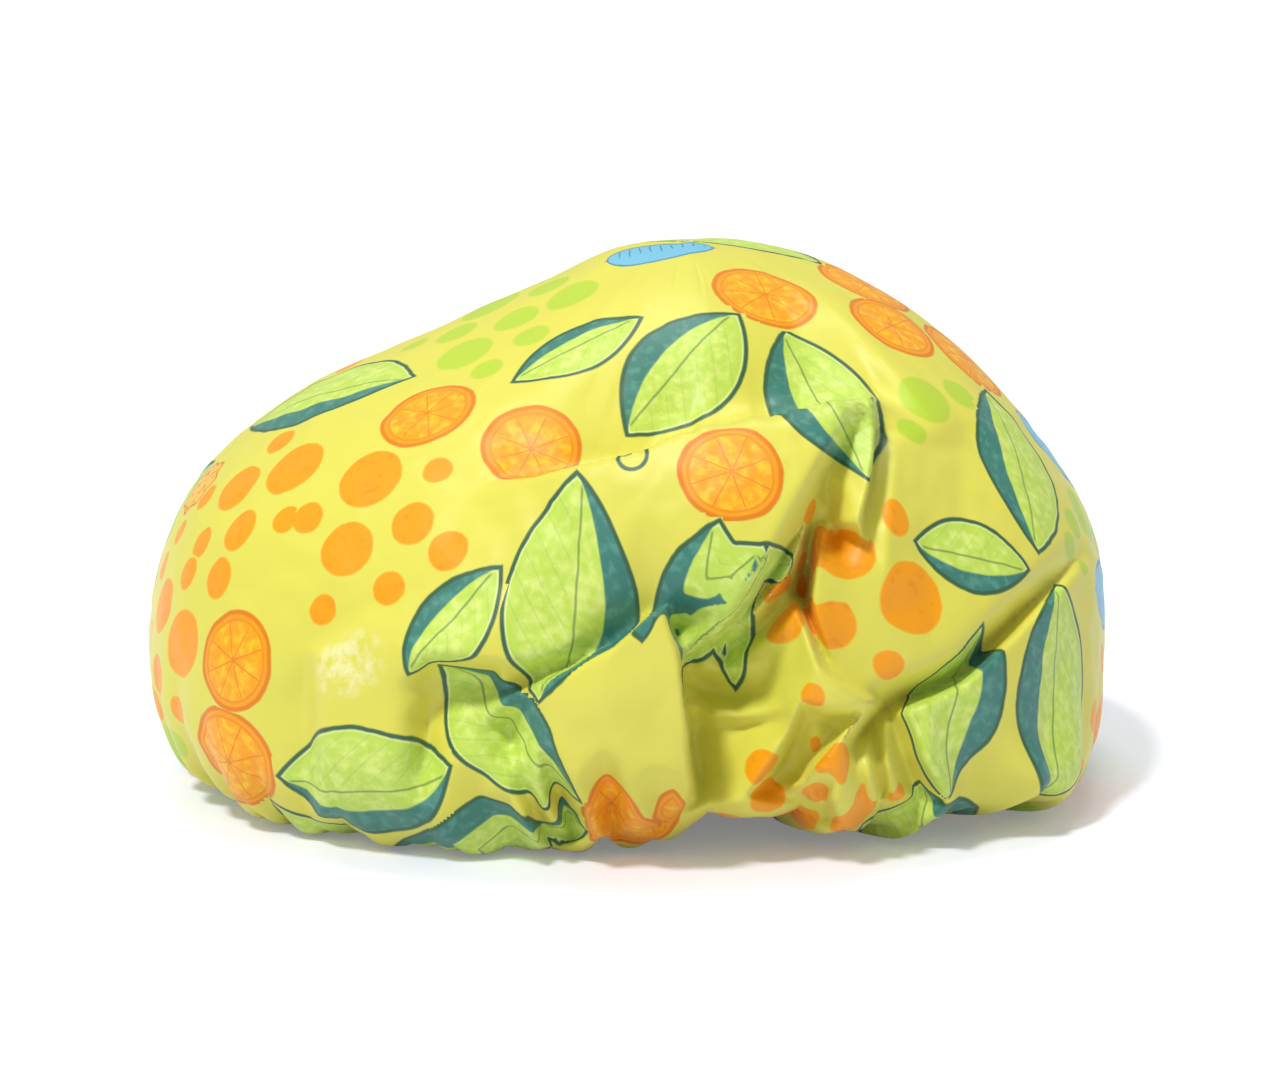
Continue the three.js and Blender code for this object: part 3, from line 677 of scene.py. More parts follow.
@dataclass(frozen=True)
class Drape:
    """How the folded cloth is left to settle: it gets some slack, and softly keeps to its place."""

    frames: int = 20
    quality: int = 6
    coarseness: int = 4
    slack: float = 0.004
    hem_slack: float = 0.05
    slack_starts: float = 0.30
    hold: float = 0.10
    most_move: float = 0.004
    vertex_mass: float = 0.00004
    tension: float = 15.0
    shear: float = 5.0
    bending: float = 0.6
    crease_hold: float = 1.2
    free_give: float = 0.6
    ease_passes: int = 5

    def settle(self, points: ndarray, shares: ndarray, calm: ndarray) -> ndarray:
        """Runs the simulation on a grid of rings and turns.

        Args:
            points: The cloth before it settles.
            shares: The share out from the pole at each point.
            calm: How firmly each point keeps to its place, from 0 to 1.

        Returns:
            How far each point moved, held to the most that is allowed.
        """
        mesh = grid_mesh("settling_cloth", points)
        cloth = added("settling_cloth", mesh)
        held = cloth.vertex_groups.new(name="held")
        loose = cloth.vertex_groups.new(name="loose")
        firm = merged_pole(calm)
        slack = np.clip((merged_pole(shares) - self.slack_starts) / (1 - self.slack_starts), 0, 1)
        for index, (hold, give) in enumerate(zip(firm, slack)):
            held.add([index], float(hold), "REPLACE")
            loose.add([index], float(give), "REPLACE")
        modifier = cloth.modifiers.new("Cloth", "CLOTH")
        settings = modifier.settings
        settings.quality = self.quality
        settings.mass = self.vertex_mass
        settings.tension_stiffness = self.tension
        settings.compression_stiffness = self.tension
        settings.shear_stiffness = self.shear
        settings.bending_stiffness = self.bending
        settings.vertex_group_mass = held.name
        settings.pin_stiffness = self.hold
        settings.vertex_group_shrink = loose.name
        settings.shrink_min = -self.slack
        settings.shrink_max = -self.hem_slack
        settings.effector_weights.gravity = 0.0
        modifier.collision_settings.use_collision = False
        scene = bpy.context.scene
        for step in range(1, self.frames + 1):
            scene.frame_set(step)
        settled = cloth.evaluated_get(bpy.context.evaluated_depsgraph_get())
        after = np.empty(len(mesh.vertices) * 3)
        settled.data.vertices.foreach_get("co", after)
        scene.frame_set(1)
        bpy.data.objects.remove(cloth)
        bpy.data.meshes.remove(mesh)
        after = after.reshape(-1, 3)
        pole = np.repeat(after[:1], points.shape[1], 0)
        move = np.concatenate([pole, after[1:]]).reshape(points.shape) - points
        length = norm(move, axis=-1, keepdims=True)
        return move * np.minimum(1, self.most_move / np.maximum(length, TINY))


def merged_pole(values: ndarray) -> ndarray:
    """Lists a grid's values ring by ring, with one value for the pole."""
    flat = values.reshape(values.shape[0] * values.shape[1], *values.shape[2:])
    return np.concatenate([flat[:1], flat[values.shape[1]:]])


def grid_mesh(name: str, points: ndarray) -> Mesh:
    """Makes a mesh of a grid of rings and turns, closed at its pole and open at its last ring.

    Args:
        name: The mesh's name.
        points: The grid, by ring and turn.

    Returns:
        The mesh.
    """
    rings, turns = points.shape[:2]
    mesh = bpy.data.meshes.new(name)
    rim = 1 + np.arange(turns)
    fan = np.stack([np.zeros(turns, int), rim, np.roll(rim, -1)], -1)
    near = (1 + np.arange((rings - 2) * turns)).reshape(-1, turns)
    far = near + turns
    quads = np.stack([near, far, np.roll(far, -1, 1), np.roll(near, -1, 1)], -1).reshape(-1, 4)
    mesh.from_pydata(merged_pole(points).tolist(), [], fan.tolist() + quads.tolist())
    shade_smooth(mesh)
    return mesh


def doubled(values: ndarray) -> ndarray:
    """Spreads a coarse grid over one with twice as many rings and turns.

    Args:
        values: The coarse grid, by ring and turn.

    Returns:
        The fine one.
    """
    after = np.roll(values, -1, 1)
    turned = np.stack([values, (values + after) / 2], 2).reshape(values.shape[0], -1, values.shape[2])
    ringed = np.empty((2 * values.shape[0] - 1, *turned.shape[1:]))
    ringed[::2] = turned
    ringed[1::2] = (turned[:-1] + turned[1:]) / 2
    return ringed


def eased(values: ndarray, freedom: ndarray, passes: int) -> ndarray:
    """Evens a grid's values out where they are free to move.

    Args:
        values: A vector at each ring and turn.
        freedom: From 0, where a value stays, to 1.
        passes: How often each value is drawn towards its neighbours.

    Returns:
        The evened values.
    """
    out = values.copy()
    weight = 0.5 * freedom[..., None]
    for _ in range(passes):
        around = (np.roll(out, 1, 1) + np.roll(out, -1, 1)) / 2
        along = out.copy()
        along[1:-1] = (out[:-2] + out[2:]) / 2
        out = out + weight * ((around + along) / 2 - out)
    return out


@dataclass
class CapCloth:
    """The cap's cloth as a grid of rings and turns, which all of its layers follow."""

    view: PhotoView
    form: PuffedForm
    grid: ClothGrid = ClothGrid()
    gathers: HemGathers = HemGathers()
    lifts: HemLifts = HemLifts()
    drape: Drape = Drape()
    crease_reach: float = 0.004
    ease_passes: int = 3
    calm_reach: float = 0.014
    calm_from: float = 0.3
    calm_passes: int = 35
    even_passes: int = 10
    table_softness: float = 0.0022

    def __post_init__(self) -> None:
        """Works the cloth out once."""
        self.net = FoldNet(self.view, self.form)
        self.shares, self.turns = self.grid.mesh_shares()
        self.smooth = self.form.points(self.shares, self.turns)
        self.face = self._folded()
        self.normals = surface_normals(self.face)
        even = self.normals
        for _ in range(self.even_passes):
            even = (np.roll(even, 1, 1) + even + np.roll(even, -1, 1)) / 3
        self.even_normals = even / norm(even, axis=-1, keepdims=True)

    def _on_table(self, points: ndarray) -> ndarray:
        """Presses what would sink into the table flat onto it.

        Args:
            points: The cloth's points.

        Returns:
            The pressed points.
        """
        height, soft = points[..., 2], self.table_softness
        pressed = soft * np.exp(np.minimum(height - soft, 0) / soft)
        out = points.copy()
        out[..., 2] = np.where(height < soft, pressed, height)
        return out

    def _folded(self) -> ndarray:
        """Folds, gathers and settles the cloth.

        Returns:
            The cloth's points, by ring and turn.
        """
        moves, distance = self.net.moves_at(self.form.flat(self.shares, self.turns))
        freedom = np.clip(distance / self.crease_reach, 0, 1)
        moves = eased(moves, freedom, self.ease_passes)
        moves = eased(moves, np.clip(distance / self.calm_reach - self.calm_from, 0, 1), self.calm_passes)
        moves = eased(moves, np.ones_like(freedom), 1)
        moves += surface_normals(self.smooth) * self.gathers.rise(self.shares, self.turns)[..., None]
        moves[..., 2] += self.lifts.rise(self.shares, self.turns)
        face = self._on_table(self.smooth + moves)
        step = self.drape.coarseness
        calm = np.minimum(self.drape.crease_hold - freedom[::step, ::step] * self.drape.free_give, 1)
        calm[-1:], calm[:2] = 1, 1
        settled = self.drape.settle(face[::step, ::step], self.shares[::step, ::step], calm)
        while step > 1:
            settled, step = doubled(settled), step // 2
        return self._on_table(face + eased(settled, np.ones_like(freedom), self.drape.ease_passes))

    def ring(self, back: float, depth: float) -> ndarray:
        """Gives a ring of points near the hem.

        Args:
            back: How far from the fold line, over the cloth.
            depth: How deep inside the cloth's outer face, negative outside it.

        Returns:
            One point for each turn.
        """
        shares = self.grid.shares()
        wanted = 1 - back / self.form.cut_radius
        row = min(int(np.searchsorted(shares, wanted, side="right")) - 1, self.grid.rings - 1)
        part = (wanted - shares[row]) / (shares[row + 1] - shares[row])
        points = self.face[row] * (1 - part) + self.face[row + 1] * part
        normals = self.even_normals[row] * (1 - part) + self.even_normals[row + 1] * part
        return points - depth * normals

    def write_cut_map(self, mesh: Mesh, rings: ndarray) -> None:
        """Writes a sheet's place on the flat cut to its map, from the share out of each of its rings."""
        shares, turns = np.meshgrid(rings, self.turns[0], indexing="ij")
        write_map(mesh, "cut", merged_pole(self.form.flat(shares, turns))[corner_points(mesh)])


@dataclass(frozen=True)
class HemSizes:
    """Sizes of the hem's casing, as the frame's solids have them."""

    wall: float = 0.0005
    film_wall: float = 0.0004
    gap: float = 0.00035
    elastic_width: float = 0.006
    elastic_thickness: float = 0.001
    thread: float = 0.0004
    casing_width: float = 0.010
    stitch_inset: float = 0.0084
    nose: float = 0.0012

    @property
    def film_depth(self) -> float:
        """How deep the film's outer face lies."""
        return self.wall + self.gap

    @property
    def elastic_depth(self) -> float:
        """How deep the elastic's inner face lies."""
        return self.film_depth + self.elastic_thickness

    @property
    def casing_depth(self) -> float:
        """How deep the turned leg lies over the elastic."""
        return self.elastic_depth + 2 * self.gap + self.thread

    @property
    def closed_depth(self) -> float:
        """How deep the turned leg lies where it meets the film."""
        return self.film_depth + self.film_wall + self.gap

    @property
    def film_back(self) -> float:
        """How far from the fold line the film ends."""
        return 2 * self.gap + self.elastic_width

    def leg_depth(self, back: float) -> float:
        """Depth of the turned leg's inner face: level over the elastic, then closing on the film."""
        closing = max(0.0, (back - self.film_back) / (self.casing_width - self.film_back))
        return self.casing_depth + (self.closed_depth - self.casing_depth) * closing + self.wall


class StampKind(Enum):
    """What a stamp of the print shows."""

    GROUND = 0
    LEAF = 1
    SLICE = 2
    LIME_DOT = 3
    ORANGE_DOT = 4
    BLOSSOM = 5
    DROP = 6
    HAZE = 7
    TENDRIL = 8


@dataclass(frozen=True)
class Stamp:
    """One painted shape: its kind, its place and turn in its sprig, and half its length and width."""

    kind: StampKind
    x: float
    y: float
    degrees: float
    length: float
    width: float
    tip_share: float = 0.62
    tip_width_share: float = 0.6

    @property
    def spin(self) -> ndarray:
        """Its turn as a matrix that takes the sprig's axes to its own."""
        turn = math.radians(self.degrees)
        return np.array([[math.cos(turn), -math.sin(turn)], [math.sin(turn), math.cos(turn)]])

    def discs(self) -> list[tuple[float, float, float]]:
        """Gives discs of x, y and radius that cover it, in the sprig's millimetres.

        Returns:
            The discs.
        """
        if self.length == self.width:
            return [(self.x, self.y, self.length)]
        ahead = self.spin[:, 0] * self.length * self.tip_share
        tip = self.tip_width_share * self.width
        return [
            (self.x, self.y, self.width),
            (self.x + ahead[0], self.y + ahead[1], tip),
            (self.x - ahead[0], self.y - ahead[1], tip)]


@dataclass(frozen=True)
class Sprig:
    """A group of stamps that is printed together, in millimetres."""

    name: str
    stamps: tuple[Stamp, ...]
    margin_share: float = 1.6

    @property
    def discs(self) -> ndarray:
        """All of its stamps' discs, one in each row."""
        return np.array([disc for stamp in self.stamps for disc in stamp.discs()])

    @property
    def reach(self) -> float:
        """How far it reaches from its middle with a margin, in metres."""
        discs = self.discs
        return MM * float((norm(discs[:, :2], axis=1) + self.margin_share * discs[:, 2]).max())


def dots(kind: StampKind, *rows: tuple[float, float, float]) -> tuple[Stamp, ...]:
    """Makes round stamps of x, y and radius."""
    return tuple(Stamp(kind, x, y, 0, radius, radius) for x, y, radius in rows)


LARGE_SPRIGS = (
    Sprig("slice with two leaves", (
        Stamp(StampKind.SLICE, -17, -3, 20, 13.5, 13.5),
        Stamp(StampKind.LEAF, 18.7, 19.9, 35, 28, 16),
        Stamp(StampKind.LEAF, 19.4, -18.2, -24, 25, 14))),
    Sprig("lime dots", dots(
        StampKind.LIME_DOT, (-16, 10, 8), (3, 14, 6), (18, 6, 8.5), (-4, -4, 6.5), (13, -12, 6), (-19, -9, 5),
        (-2, -20, 7.5), (30, -6, 4.5), (-30, 3, 4.5), (8, 27, 4))),
    Sprig("leaf pair", (
        Stamp(StampKind.LEAF, -6, 17, 18, 31, 17),
        Stamp(StampKind.LEAF, 6, -18, 198, 28, 15.5))),
    Sprig("orange dots", dots(
        StampKind.ORANGE_DOT, (-12, 6, 9), (9, 10, 6), (3, -8, 7.5), (20, -4, 4.5), (-13, -13, 4.5),
        (-2, 22, 4), (22, 14, 5.5), (12, -22, 4))),
    Sprig("slice and drop", (
        Stamp(StampKind.SLICE, -15, 4, 70, 13.5, 13.5),
        Stamp(StampKind.LEAF, 18.8, -21.8, -36, 28, 15.5),
        Stamp(StampKind.DROP, 17, 17, 40, 15, 10.5))),
)
MIDDLE_SPRIGS = (
    Sprig("long leaf", (Stamp(StampKind.LEAF, 0, 0, 0, 31, 16.5),)),
    Sprig("slice", (Stamp(StampKind.SLICE, 0, 0, 0, 12.5, 12.5),)),
    Sprig("three lime dots", dots(StampKind.LIME_DOT, (0, 0, 8), (15, 5, 5.5), (-8, -13, 4.5))),
    Sprig("drop", (Stamp(StampKind.DROP, 0, 0, 15, 14.5, 11),)),
    Sprig("small leaf", (Stamp(StampKind.LEAF, 0, 0, 0, 19, 10),)),
)
SMALL_SPRIGS = (
    Sprig("blossom", (Stamp(StampKind.BLOSSOM, 0, 0, 0, 8.5, 8.5),)),
    Sprig("tendril", (Stamp(StampKind.TENDRIL, 0, 0, 20, 6.5, 6.5),)),
    Sprig("haze", (Stamp(StampKind.HAZE, 0, 0, 30, 14, 10),)),
    Sprig("orange spot", dots(StampKind.ORANGE_DOT, (0, 0, 3.5))),
    Sprig("lime spots", dots(StampKind.LIME_DOT, (0, 0, 4), (7, 6, 2.5))),
)


@dataclass(frozen=True)
class FlatPatch:
    """Lays a patch of folded cloth flat, so that its print keeps its size.

    It works from wide steps to narrow ones. A link runs down the rings, on round the turns or both.
    """

    steps: tuple[int, ...] = (8, 4, 2, 1)
    directions: tuple[tuple[int, int], ...] = ((1, 0), (0, 1), (1, 1), (1, -1))
    passes: int = 40
    pull: float = 0.1

    def _links(self, folded: ndarray, step: int) -> list[tuple[tuple, tuple, ndarray]]:
        """Pairs up points so many steps apart and measures the folded cloth between them.

        Args:
            folded: The patch of folded cloth.
            step: How many points apart.

        Returns:
            Each link's near and far points, and its lengths.
        """
        rows, columns = np.arange(0, folded.shape[0], step), np.arange(0, folded.shape[1], step)
        links = []
        for down, on in self.directions:
            near = (slice(0, len(rows) - down), slice(max(-on, 0), len(columns) - max(on, 0)))
            far = (slice(down, None), slice(max(on, 0), len(columns) + min(on, 0)))
            row, column = rows[near[0]][:, None], columns[near[1]]
            lengths = np.zeros((len(row), len(column)))
            for part in range(step):
                ahead = folded[row + (part + 1) * down, column + (part + 1) * on]
                lengths += norm(ahead - folded[row + part * down, column + part * on], axis=-1)
            links.append((near, far, lengths))
        return links

    def flatten(self, start: ndarray, folded: ndarray) -> ndarray:
        """Moves points until they lie as far apart as on the folded cloth.

        Args:
            start: A first guess of each point's flat place.
            folded: The same points on the folded cloth, in the same unit.

        Returns:
            The flat places.
        """
        flat = start
        for step in self.steps:
            coarse = flat[::step, ::step].copy()
            links = self._links(folded, step)
            for _ in range(self.passes):
                move = np.zeros_like(coarse)
                for near, far, lengths in links:
                    gap = coarse[far] - coarse[near]
                    reach = np.maximum(norm(gap, axis=-1), TINY)
                    part = gap * ((reach - lengths) / reach)[..., None]
                    move[near] += part
                    move[far] -= part
                coarse += move * self.pull
            weights = []
            for count, coarse_count in zip(flat.shape, coarse.shape[:2]):
                places = np.minimum(np.arange(count) / step, coarse_count - 1)
                weights.append(np.maximum(0, 1 - np.abs(places[:, None] - np.arange(coarse_count))))
            moved = coarse - flat[::step, ::step]
            flat = flat + np.einsum("ia,abx,jb->ijx", weights[0], moved, weights[1], optimize=True)
        return flat


@dataclass
class PrintedSheet:
    """A sheet's facets, each with the stamp that covers it.

    The sheet is a grid of rings and turns, and each sprig's place on it is measured on the folded
    cloth. Its points are given on the form before its folds and on the folded cloth.
    """

    mesh: Mesh
    smooth: ndarray
    folded: ndarray
    patch: FlatPatch = FlatPatch()
    far_metric: float = 1.5
    most_covered: float = 0.02

    def __post_init__(self) -> None:
        """Reads the sheet's facets."""
        self.corner_points = corner_points(self.mesh)
        self.totals = np.empty(len(self.mesh.polygons), int)
        self.mesh.polygons.foreach_get("loop_total", self.totals)
        self.corner_faces = np.repeat(np.arange(len(self.totals)), self.totals)
        self.starts = np.concatenate([[0], np.cumsum(self.totals)[:-1]])
        self.best = np.full(len(self.totals), self.far_metric)
        self.place = np.zeros((len(self.corner_points), 2))
        self.size = np.ones((len(self.corner_points), 2))
        self.kind = np.zeros((len(self.corner_points), 2))

    @staticmethod
    def _unrolled(steps: ndarray, axes: ndarray) -> ndarray:
        """Lays steps from a sprig's centre into its own plane, in millimetres, at their full lengths.

        Args:
            steps: The steps.
            axes: The sprig's axes and normal.

        Returns:
            The steps in the plane.
        """
        plane = steps @ axes[:2].T
        lengths = norm(steps, axis=-1, keepdims=True) / MM
        return plane * lengths / np.maximum(norm(plane, axis=-1, keepdims=True), TINY)

    def _flat_places(self, sprig: Sprig, centre: ndarray, axes: ndarray) -> ndarray:
        """Gives each point of the grid its place in a sprig, or no number where it is too far off.

        Args:
            sprig: The sprig.
            centre: Its middle on the form.
            axes: Its axes and normal.

        Returns:
            The places, by ring and turn.
        """
        places = np.full((*self.smooth.shape[:2], 2), np.nan)
        apart = norm(self.smooth - centre, axis=-1)
        row, column = np.unravel_index(int(apart.argmin()), apart.shape)
        turns = self.smooth.shape[1]
        near = np.roll(apart < sprig.reach, turns // 2 - column, 1)
        rows, columns = np.flatnonzero(near.any(1)), np.flatnonzero(near.any(0))
        rows = np.arange(rows[0], rows[-1] + 1)[:, None]
        columns = (np.arange(columns[0], columns[-1] + 1) - turns // 2 + column) % turns
        start = self._unrolled(self.smooth[rows, columns] - centre, axes)
        if rows[0] > 0:
            start = self.patch.flatten(start, self.folded[rows, columns] / MM)
            start = start - start[row - rows[0, 0], int(np.flatnonzero(columns == column)[0])]
        places[rows, columns] = start
        return places

    def stamp(self, sprig: Sprig, centre: ndarray, axes: ndarray, seeds: ndarray) -> bool:
        """Prints a sprig unless it would cover another one.

        Args:
            sprig: The sprig.
            centre: Its centre on the form.
            axes: Its own two axes and its normal there.
            seeds: A number from 0 to 1 for each of its stamps, which varies its look.

        Returns:
            Whether it was printed.
        """
        corners = merged_pole(self._flat_places(sprig, centre, axes))[self.corner_points]
        middles = np.add.reduceat(corners, self.starts) / self.totals[:, None]
        metrics = []
        for stamp in sprig.stamps:
            half = np.array([stamp.length, stamp.width])
            metrics.append(norm((middles - (stamp.x, stamp.y)) @ stamp.spin / half, axis=1))
        covered = (np.array(metrics) < 1).any(0)
        if (covered & (self.best < 1)).sum() > self.most_covered * covered.sum():
            return False
        for stamp, metric, seed in zip(sprig.stamps, metrics, seeds):
            won = metric < self.best
            self.best[won] = metric[won]
            mask = won[self.corner_faces]
            self.place[mask] = (corners[mask] - (stamp.x, stamp.y)) @ stamp.spin
            self.size[mask] = (stamp.length, stamp.width)
            self.kind[mask] = (stamp.kind.value, seed)
        return True

    def write(self) -> None:
        """Writes the stamps to the mesh as three maps: place, size, and kind with a seed."""
        write_map(self.mesh, "stamp_place", self.place)
        write_map(self.mesh, "stamp_size", self.size)
        write_map(self.mesh, "stamp_kind", self.kind)


@dataclass(frozen=True)
class PrintPass:
    """One round of the layout: its sprigs, how often it tries and how far it keeps them apart."""

    sprigs: tuple[Sprig, ...]
    tries: int
    gap: float


@dataclass
class PrintLayout:
    """Scatters sprigs over the cloth, none over another.

    Where the folds take the cloth in, past the calm share, a sprig spans less of the form than its
    true size, and the stretch says how much less.
    """

    cloth: CapCloth
    seed: int = 29
    passes: tuple[PrintPass, ...] = (
        PrintPass(LARGE_SPRIGS, 4000, 0.001),
        PrintPass(MIDDLE_SPRIGS, 3000, 0.001),
        PrintPass(SMALL_SPRIGS, 2000, 0.004))
    patience: int = 300
    last_share: float = 0.93
    stretch: float = 1.2
    calm_share: float = 0.5
    probe: float = 0.004

    def _axes(self, points: ndarray, shares: ndarray, turns: ndarray, spins: ndarray) -> ndarray:
        """Gives a sprig's two axes and its normal at each point of the form.

        Args:
            points: The points.
            shares: Their shares of the way out.
            turns: Their turns.
            spins: How far each sprig is turned.

        Returns:
            The axes and normal of each.
        """
        outwards = self.cloth.form.points(shares + self.probe, turns) - points
        onwards = self.cloth.form.points(shares, turns + self.probe) - points
        normals = np.cross(outwards, onwards)
        normals /= norm(normals, axis=1)[:, None]
        across = np.cross((0.0, 0.0, 1.0), normals)
        across /= np.maximum(norm(across, axis=1), TINY)[:, None]
        upwards = np.cross(normals, across)
        first = np.cos(spins)[:, None] * across + np.sin(spins)[:, None] * upwards
        return np.stack([first, np.cross(normals, first), normals], 1)

    def _discs(self, sprig: Sprig, point: ndarray, axes: ndarray, share: float) -> ndarray:
        """Gives the x, y, z and radius of a sprig's discs, laid on the form around a point.

        Args:
            sprig: The sprig.
            point: Its middle.
            axes: Its axes.
            share: Its share of the way out.

        Returns:
            The discs, in metres.
        """
        discs = sprig.discs * MM / (1 if share < self.calm_share else self.stretch)
        places = point + discs[:, :2] @ axes[:2]
        laid = [self.cloth.net.tree.find_nearest(Vector(place))[0] for place in places]
        return np.column_stack([np.array(laid), discs[:, 2]])

    def dress(self, sheet: PrintedSheet) -> None:
        """Prints the sheet, its large sprigs first.

        Args:
            sheet: The sheet.
        """
        draw = np.random.default_rng(self.seed)
        count = sum(one.tries for one in self.passes)
        shares = np.sqrt(draw.uniform(0.0, self.last_share, count))
        turns, spins = draw.uniform(0, FULL_TURN, (2, count))
        points = self.cloth.form.points(shares, turns)
        axes = self._axes(points, shares, turns, spins)
        taken = np.empty((0, 4))
        start = 0
        for one in self.passes:
            placed, failed = 0, 0
            for index in range(start, start + one.tries):
                sprig = one.sprigs[(placed + failed // self.patience) % len(one.sprigs)]
                discs = self._discs(sprig, points[index], axes[index], shares[index])
                apart = norm(discs[:, None, :3] - taken[:, :3], axis=-1)
                crowded = (apart < discs[:, 3:] + taken[:, 3] + one.gap).any()
                if not crowded:
                    seeds = draw.uniform(0, 1, len(sprig.stamps))
                    if sheet.stamp(sprig, points[index], axes[index], seeds):
                        taken = np.concatenate([taken, discs])
                        placed += 1
                        continue
                failed += 1
            start += one.tries
            LOG.info("%d sprigs of this round were printed", placed)
        sheet.write()


def add_node(tree: NodeTree, kind: str, inputs: dict, **settings: str | bool) -> Node:
    """Adds a shader node.

    Args:
        tree: The material's tree.
        kind: The node's kind, as Blender names it after "ShaderNode".
        inputs: What its inputs get, by name or number: a signal or socket to link, or a plain value.
        settings: The node's own settings.

    Returns:
        The node.
    """
    node = tree.nodes.new("ShaderNode" + kind)
    for name, value in settings.items():
        setattr(node, name, value)
    for name, value in inputs.items():
        value = value.socket if isinstance(value, Signal) else value
        if isinstance(value, NodeSocket):
            tree.links.new(value, node.inputs[name])
        else:
            node.inputs[name].default_value = value
    return node


class Signal:
    """A value of a shader that ordinary arithmetic turns into Math nodes."""

    def __init__(self, tree: NodeTree, socket: NodeSocket) -> None:
        """Wraps an output socket of a tree."""
        self.tree = tree
        self.socket = socket

    def math(self, operation: str, *others: "Signal | float") -> "Signal":
        """Makes one Math node of this value and the others."""
        node = add_node(self.tree, "Math", dict(enumerate((self, *others))), operation=operation)
        return Signal(self.tree, node.outputs[0])

    def __add__(self, other: "Signal | float") -> "Signal":
        """Adds."""
        return self.math("ADD", other)

    def __sub__(self, other: "Signal | float") -> "Signal":
        """Subtracts."""
        return self.math("SUBTRACT", other)

    def __mul__(self, other: "Signal | float") -> "Signal":
        """Multiplies."""
        return self.math("MULTIPLY", other)

    def __truediv__(self, other: "Signal | float") -> "Signal":
        """Divides."""
        return self.math("DIVIDE", other)

    def __neg__(self) -> "Signal":
        """Turns the sign round."""
        return self * -1.0

    def is_kind(self, kind: StampKind, slack: float = 0.25) -> "Signal":
        """Gives 1 where this value is the kind's number, within some slack."""
        return self.math("COMPARE", float(kind.value), slack)

    def ramp(self, low: float, high: float) -> "Signal":
        """Rises smoothly from 0 at low to 1 at high.

        Args:
            low: Where it starts.
            high: Where it ends.

        Returns:
            The ramp.
        """
        inputs = {"Value": self, "From Min": low, "From Max": high}
        node = add_node(self.tree, "MapRange", inputs, interpolation_type="SMOOTHSTEP")
        return Signal(self.tree, node.outputs["Result"])

    def line(self, half_width: float, softness: float) -> "Signal":
        """Gives 1 on a line where this value is 0, and 0 away from it."""
        return Signal.flipped(self.math("ABSOLUTE").ramp(half_width - softness, half_width + softness))

    @staticmethod
    def flipped(value: "Signal") -> "Signal":
        """Gives 1 minus the value."""
        return value * -1.0 + 1.0


class Paint:
    """Lays colours over one another in a shader.

    A Mix node has sockets for every type of data, and the colours' own are known by their numbers.
    """

    below: int = 6
    above: int = 7
    result: int = 2

    def __init__(self, tree: NodeTree, ground: Colour) -> None:
        """Starts from a ground colour.

        Args:
            tree: The material's tree.
            ground: The colour.
        """
        self.tree = tree
        self.ground = ground
        self.socket: NodeSocket | None = None

    def over(self, mask: Signal, colour: Colour) -> None:
        """Paints a colour where the mask is 1.

        Args:
            mask: Where to paint.
            colour: The colour.
        """
        ground = (*self.ground, 1.0) if self.socket is None else self.socket
        inputs = {0: mask, self.below: ground, self.above: (*colour, 1.0)}
        node = add_node(self.tree, "Mix", inputs, data_type="RGBA", clamp_factor=True)
        self.socket = node.outputs[self.result]


class NodeSet:
    """A new material's tree, and short ways to add to it."""

    def __init__(self, name: str) -> None:
        """Makes the material with its surface shader.

        Args:
            name: The material's name.
        """
        self.material = bpy.data.materials.new(name)
        self.material.use_nodes = True
        self.tree = self.material.node_tree
        self.surface = self.tree.nodes["Principled BSDF"]

    def map_parts(self, name: str) -> tuple[Signal, Signal]:
        """Reads the two values of a map of the mesh.

        Args:
            name: The map.

        Returns:
            The two values.
        """
        values = add_node(self.tree, "UVMap", {}, uv_map=name).outputs[0]
        parts = add_node(self.tree, "SeparateXYZ", {0: values}).outputs
        return Signal(self.tree, parts[0]), Signal(self.tree, parts[1])

    def vector(self, x: Signal, y: Signal, z: Signal | float = 0.0) -> NodeSocket:
        """Joins values to a vector."""
        return add_node(self.tree, "CombineXYZ", {"X": x, "Y": y, "Z": z}).outputs[0]

    def object_place(self) -> NodeSocket:
        """Gives the place on the piece in the frame's own axes."""
        return self.tree.nodes.new("ShaderNodeTexCoord").outputs["Object"]

    def noise(self, place: NodeSocket, scale: float, detail: float = 2.0) -> Signal:
        """Makes a soft noise from 0 to 1, with so many swells to one unit."""
        node = add_node(self.tree, "TexNoise", {"Vector": place, "Scale": scale, "Detail": detail})
        return Signal(self.tree, node.outputs[0])

    def bump(self, height: Signal, distance: float, strength: float = 1.0,
             under: NodeSocket | None = None) -> NodeSocket:
        """Turns a height into a normal.

        Args:
            height: The height.
            distance: What a height of 1 stands for, in metres.
            strength: Its strength.
            under: A normal that it adds to.

        Returns:
            The normal.
        """
        inputs = {"Height": height, "Distance": distance, "Strength": strength}
        if under is not None:
            inputs["Normal"] = under
        return add_node(self.tree, "Bump", inputs).outputs[0]

    def set(self, **values: float | Colour) -> None:
        """Sets uniform values on the surface shader's own sockets.

        Args:
            values: A value for each socket, by its name.
        """
        for name, value in values.items():
            socket = self.surface.inputs[name.replace("_", " ")]
            socket.default_value = (*value, 1.0) if isinstance(value, tuple) and len(value) == 3 else value

    def feed(self, name: str, source: NodeSocket) -> None:
        """Links a source to one of the surface shader's sockets."""
        self.tree.links.new(source, self.surface.inputs[name])


EDGE = (-0.35, 0.35)
"""How far outside and inside its outline a stamp's paint begins and is full, in millimetres."""


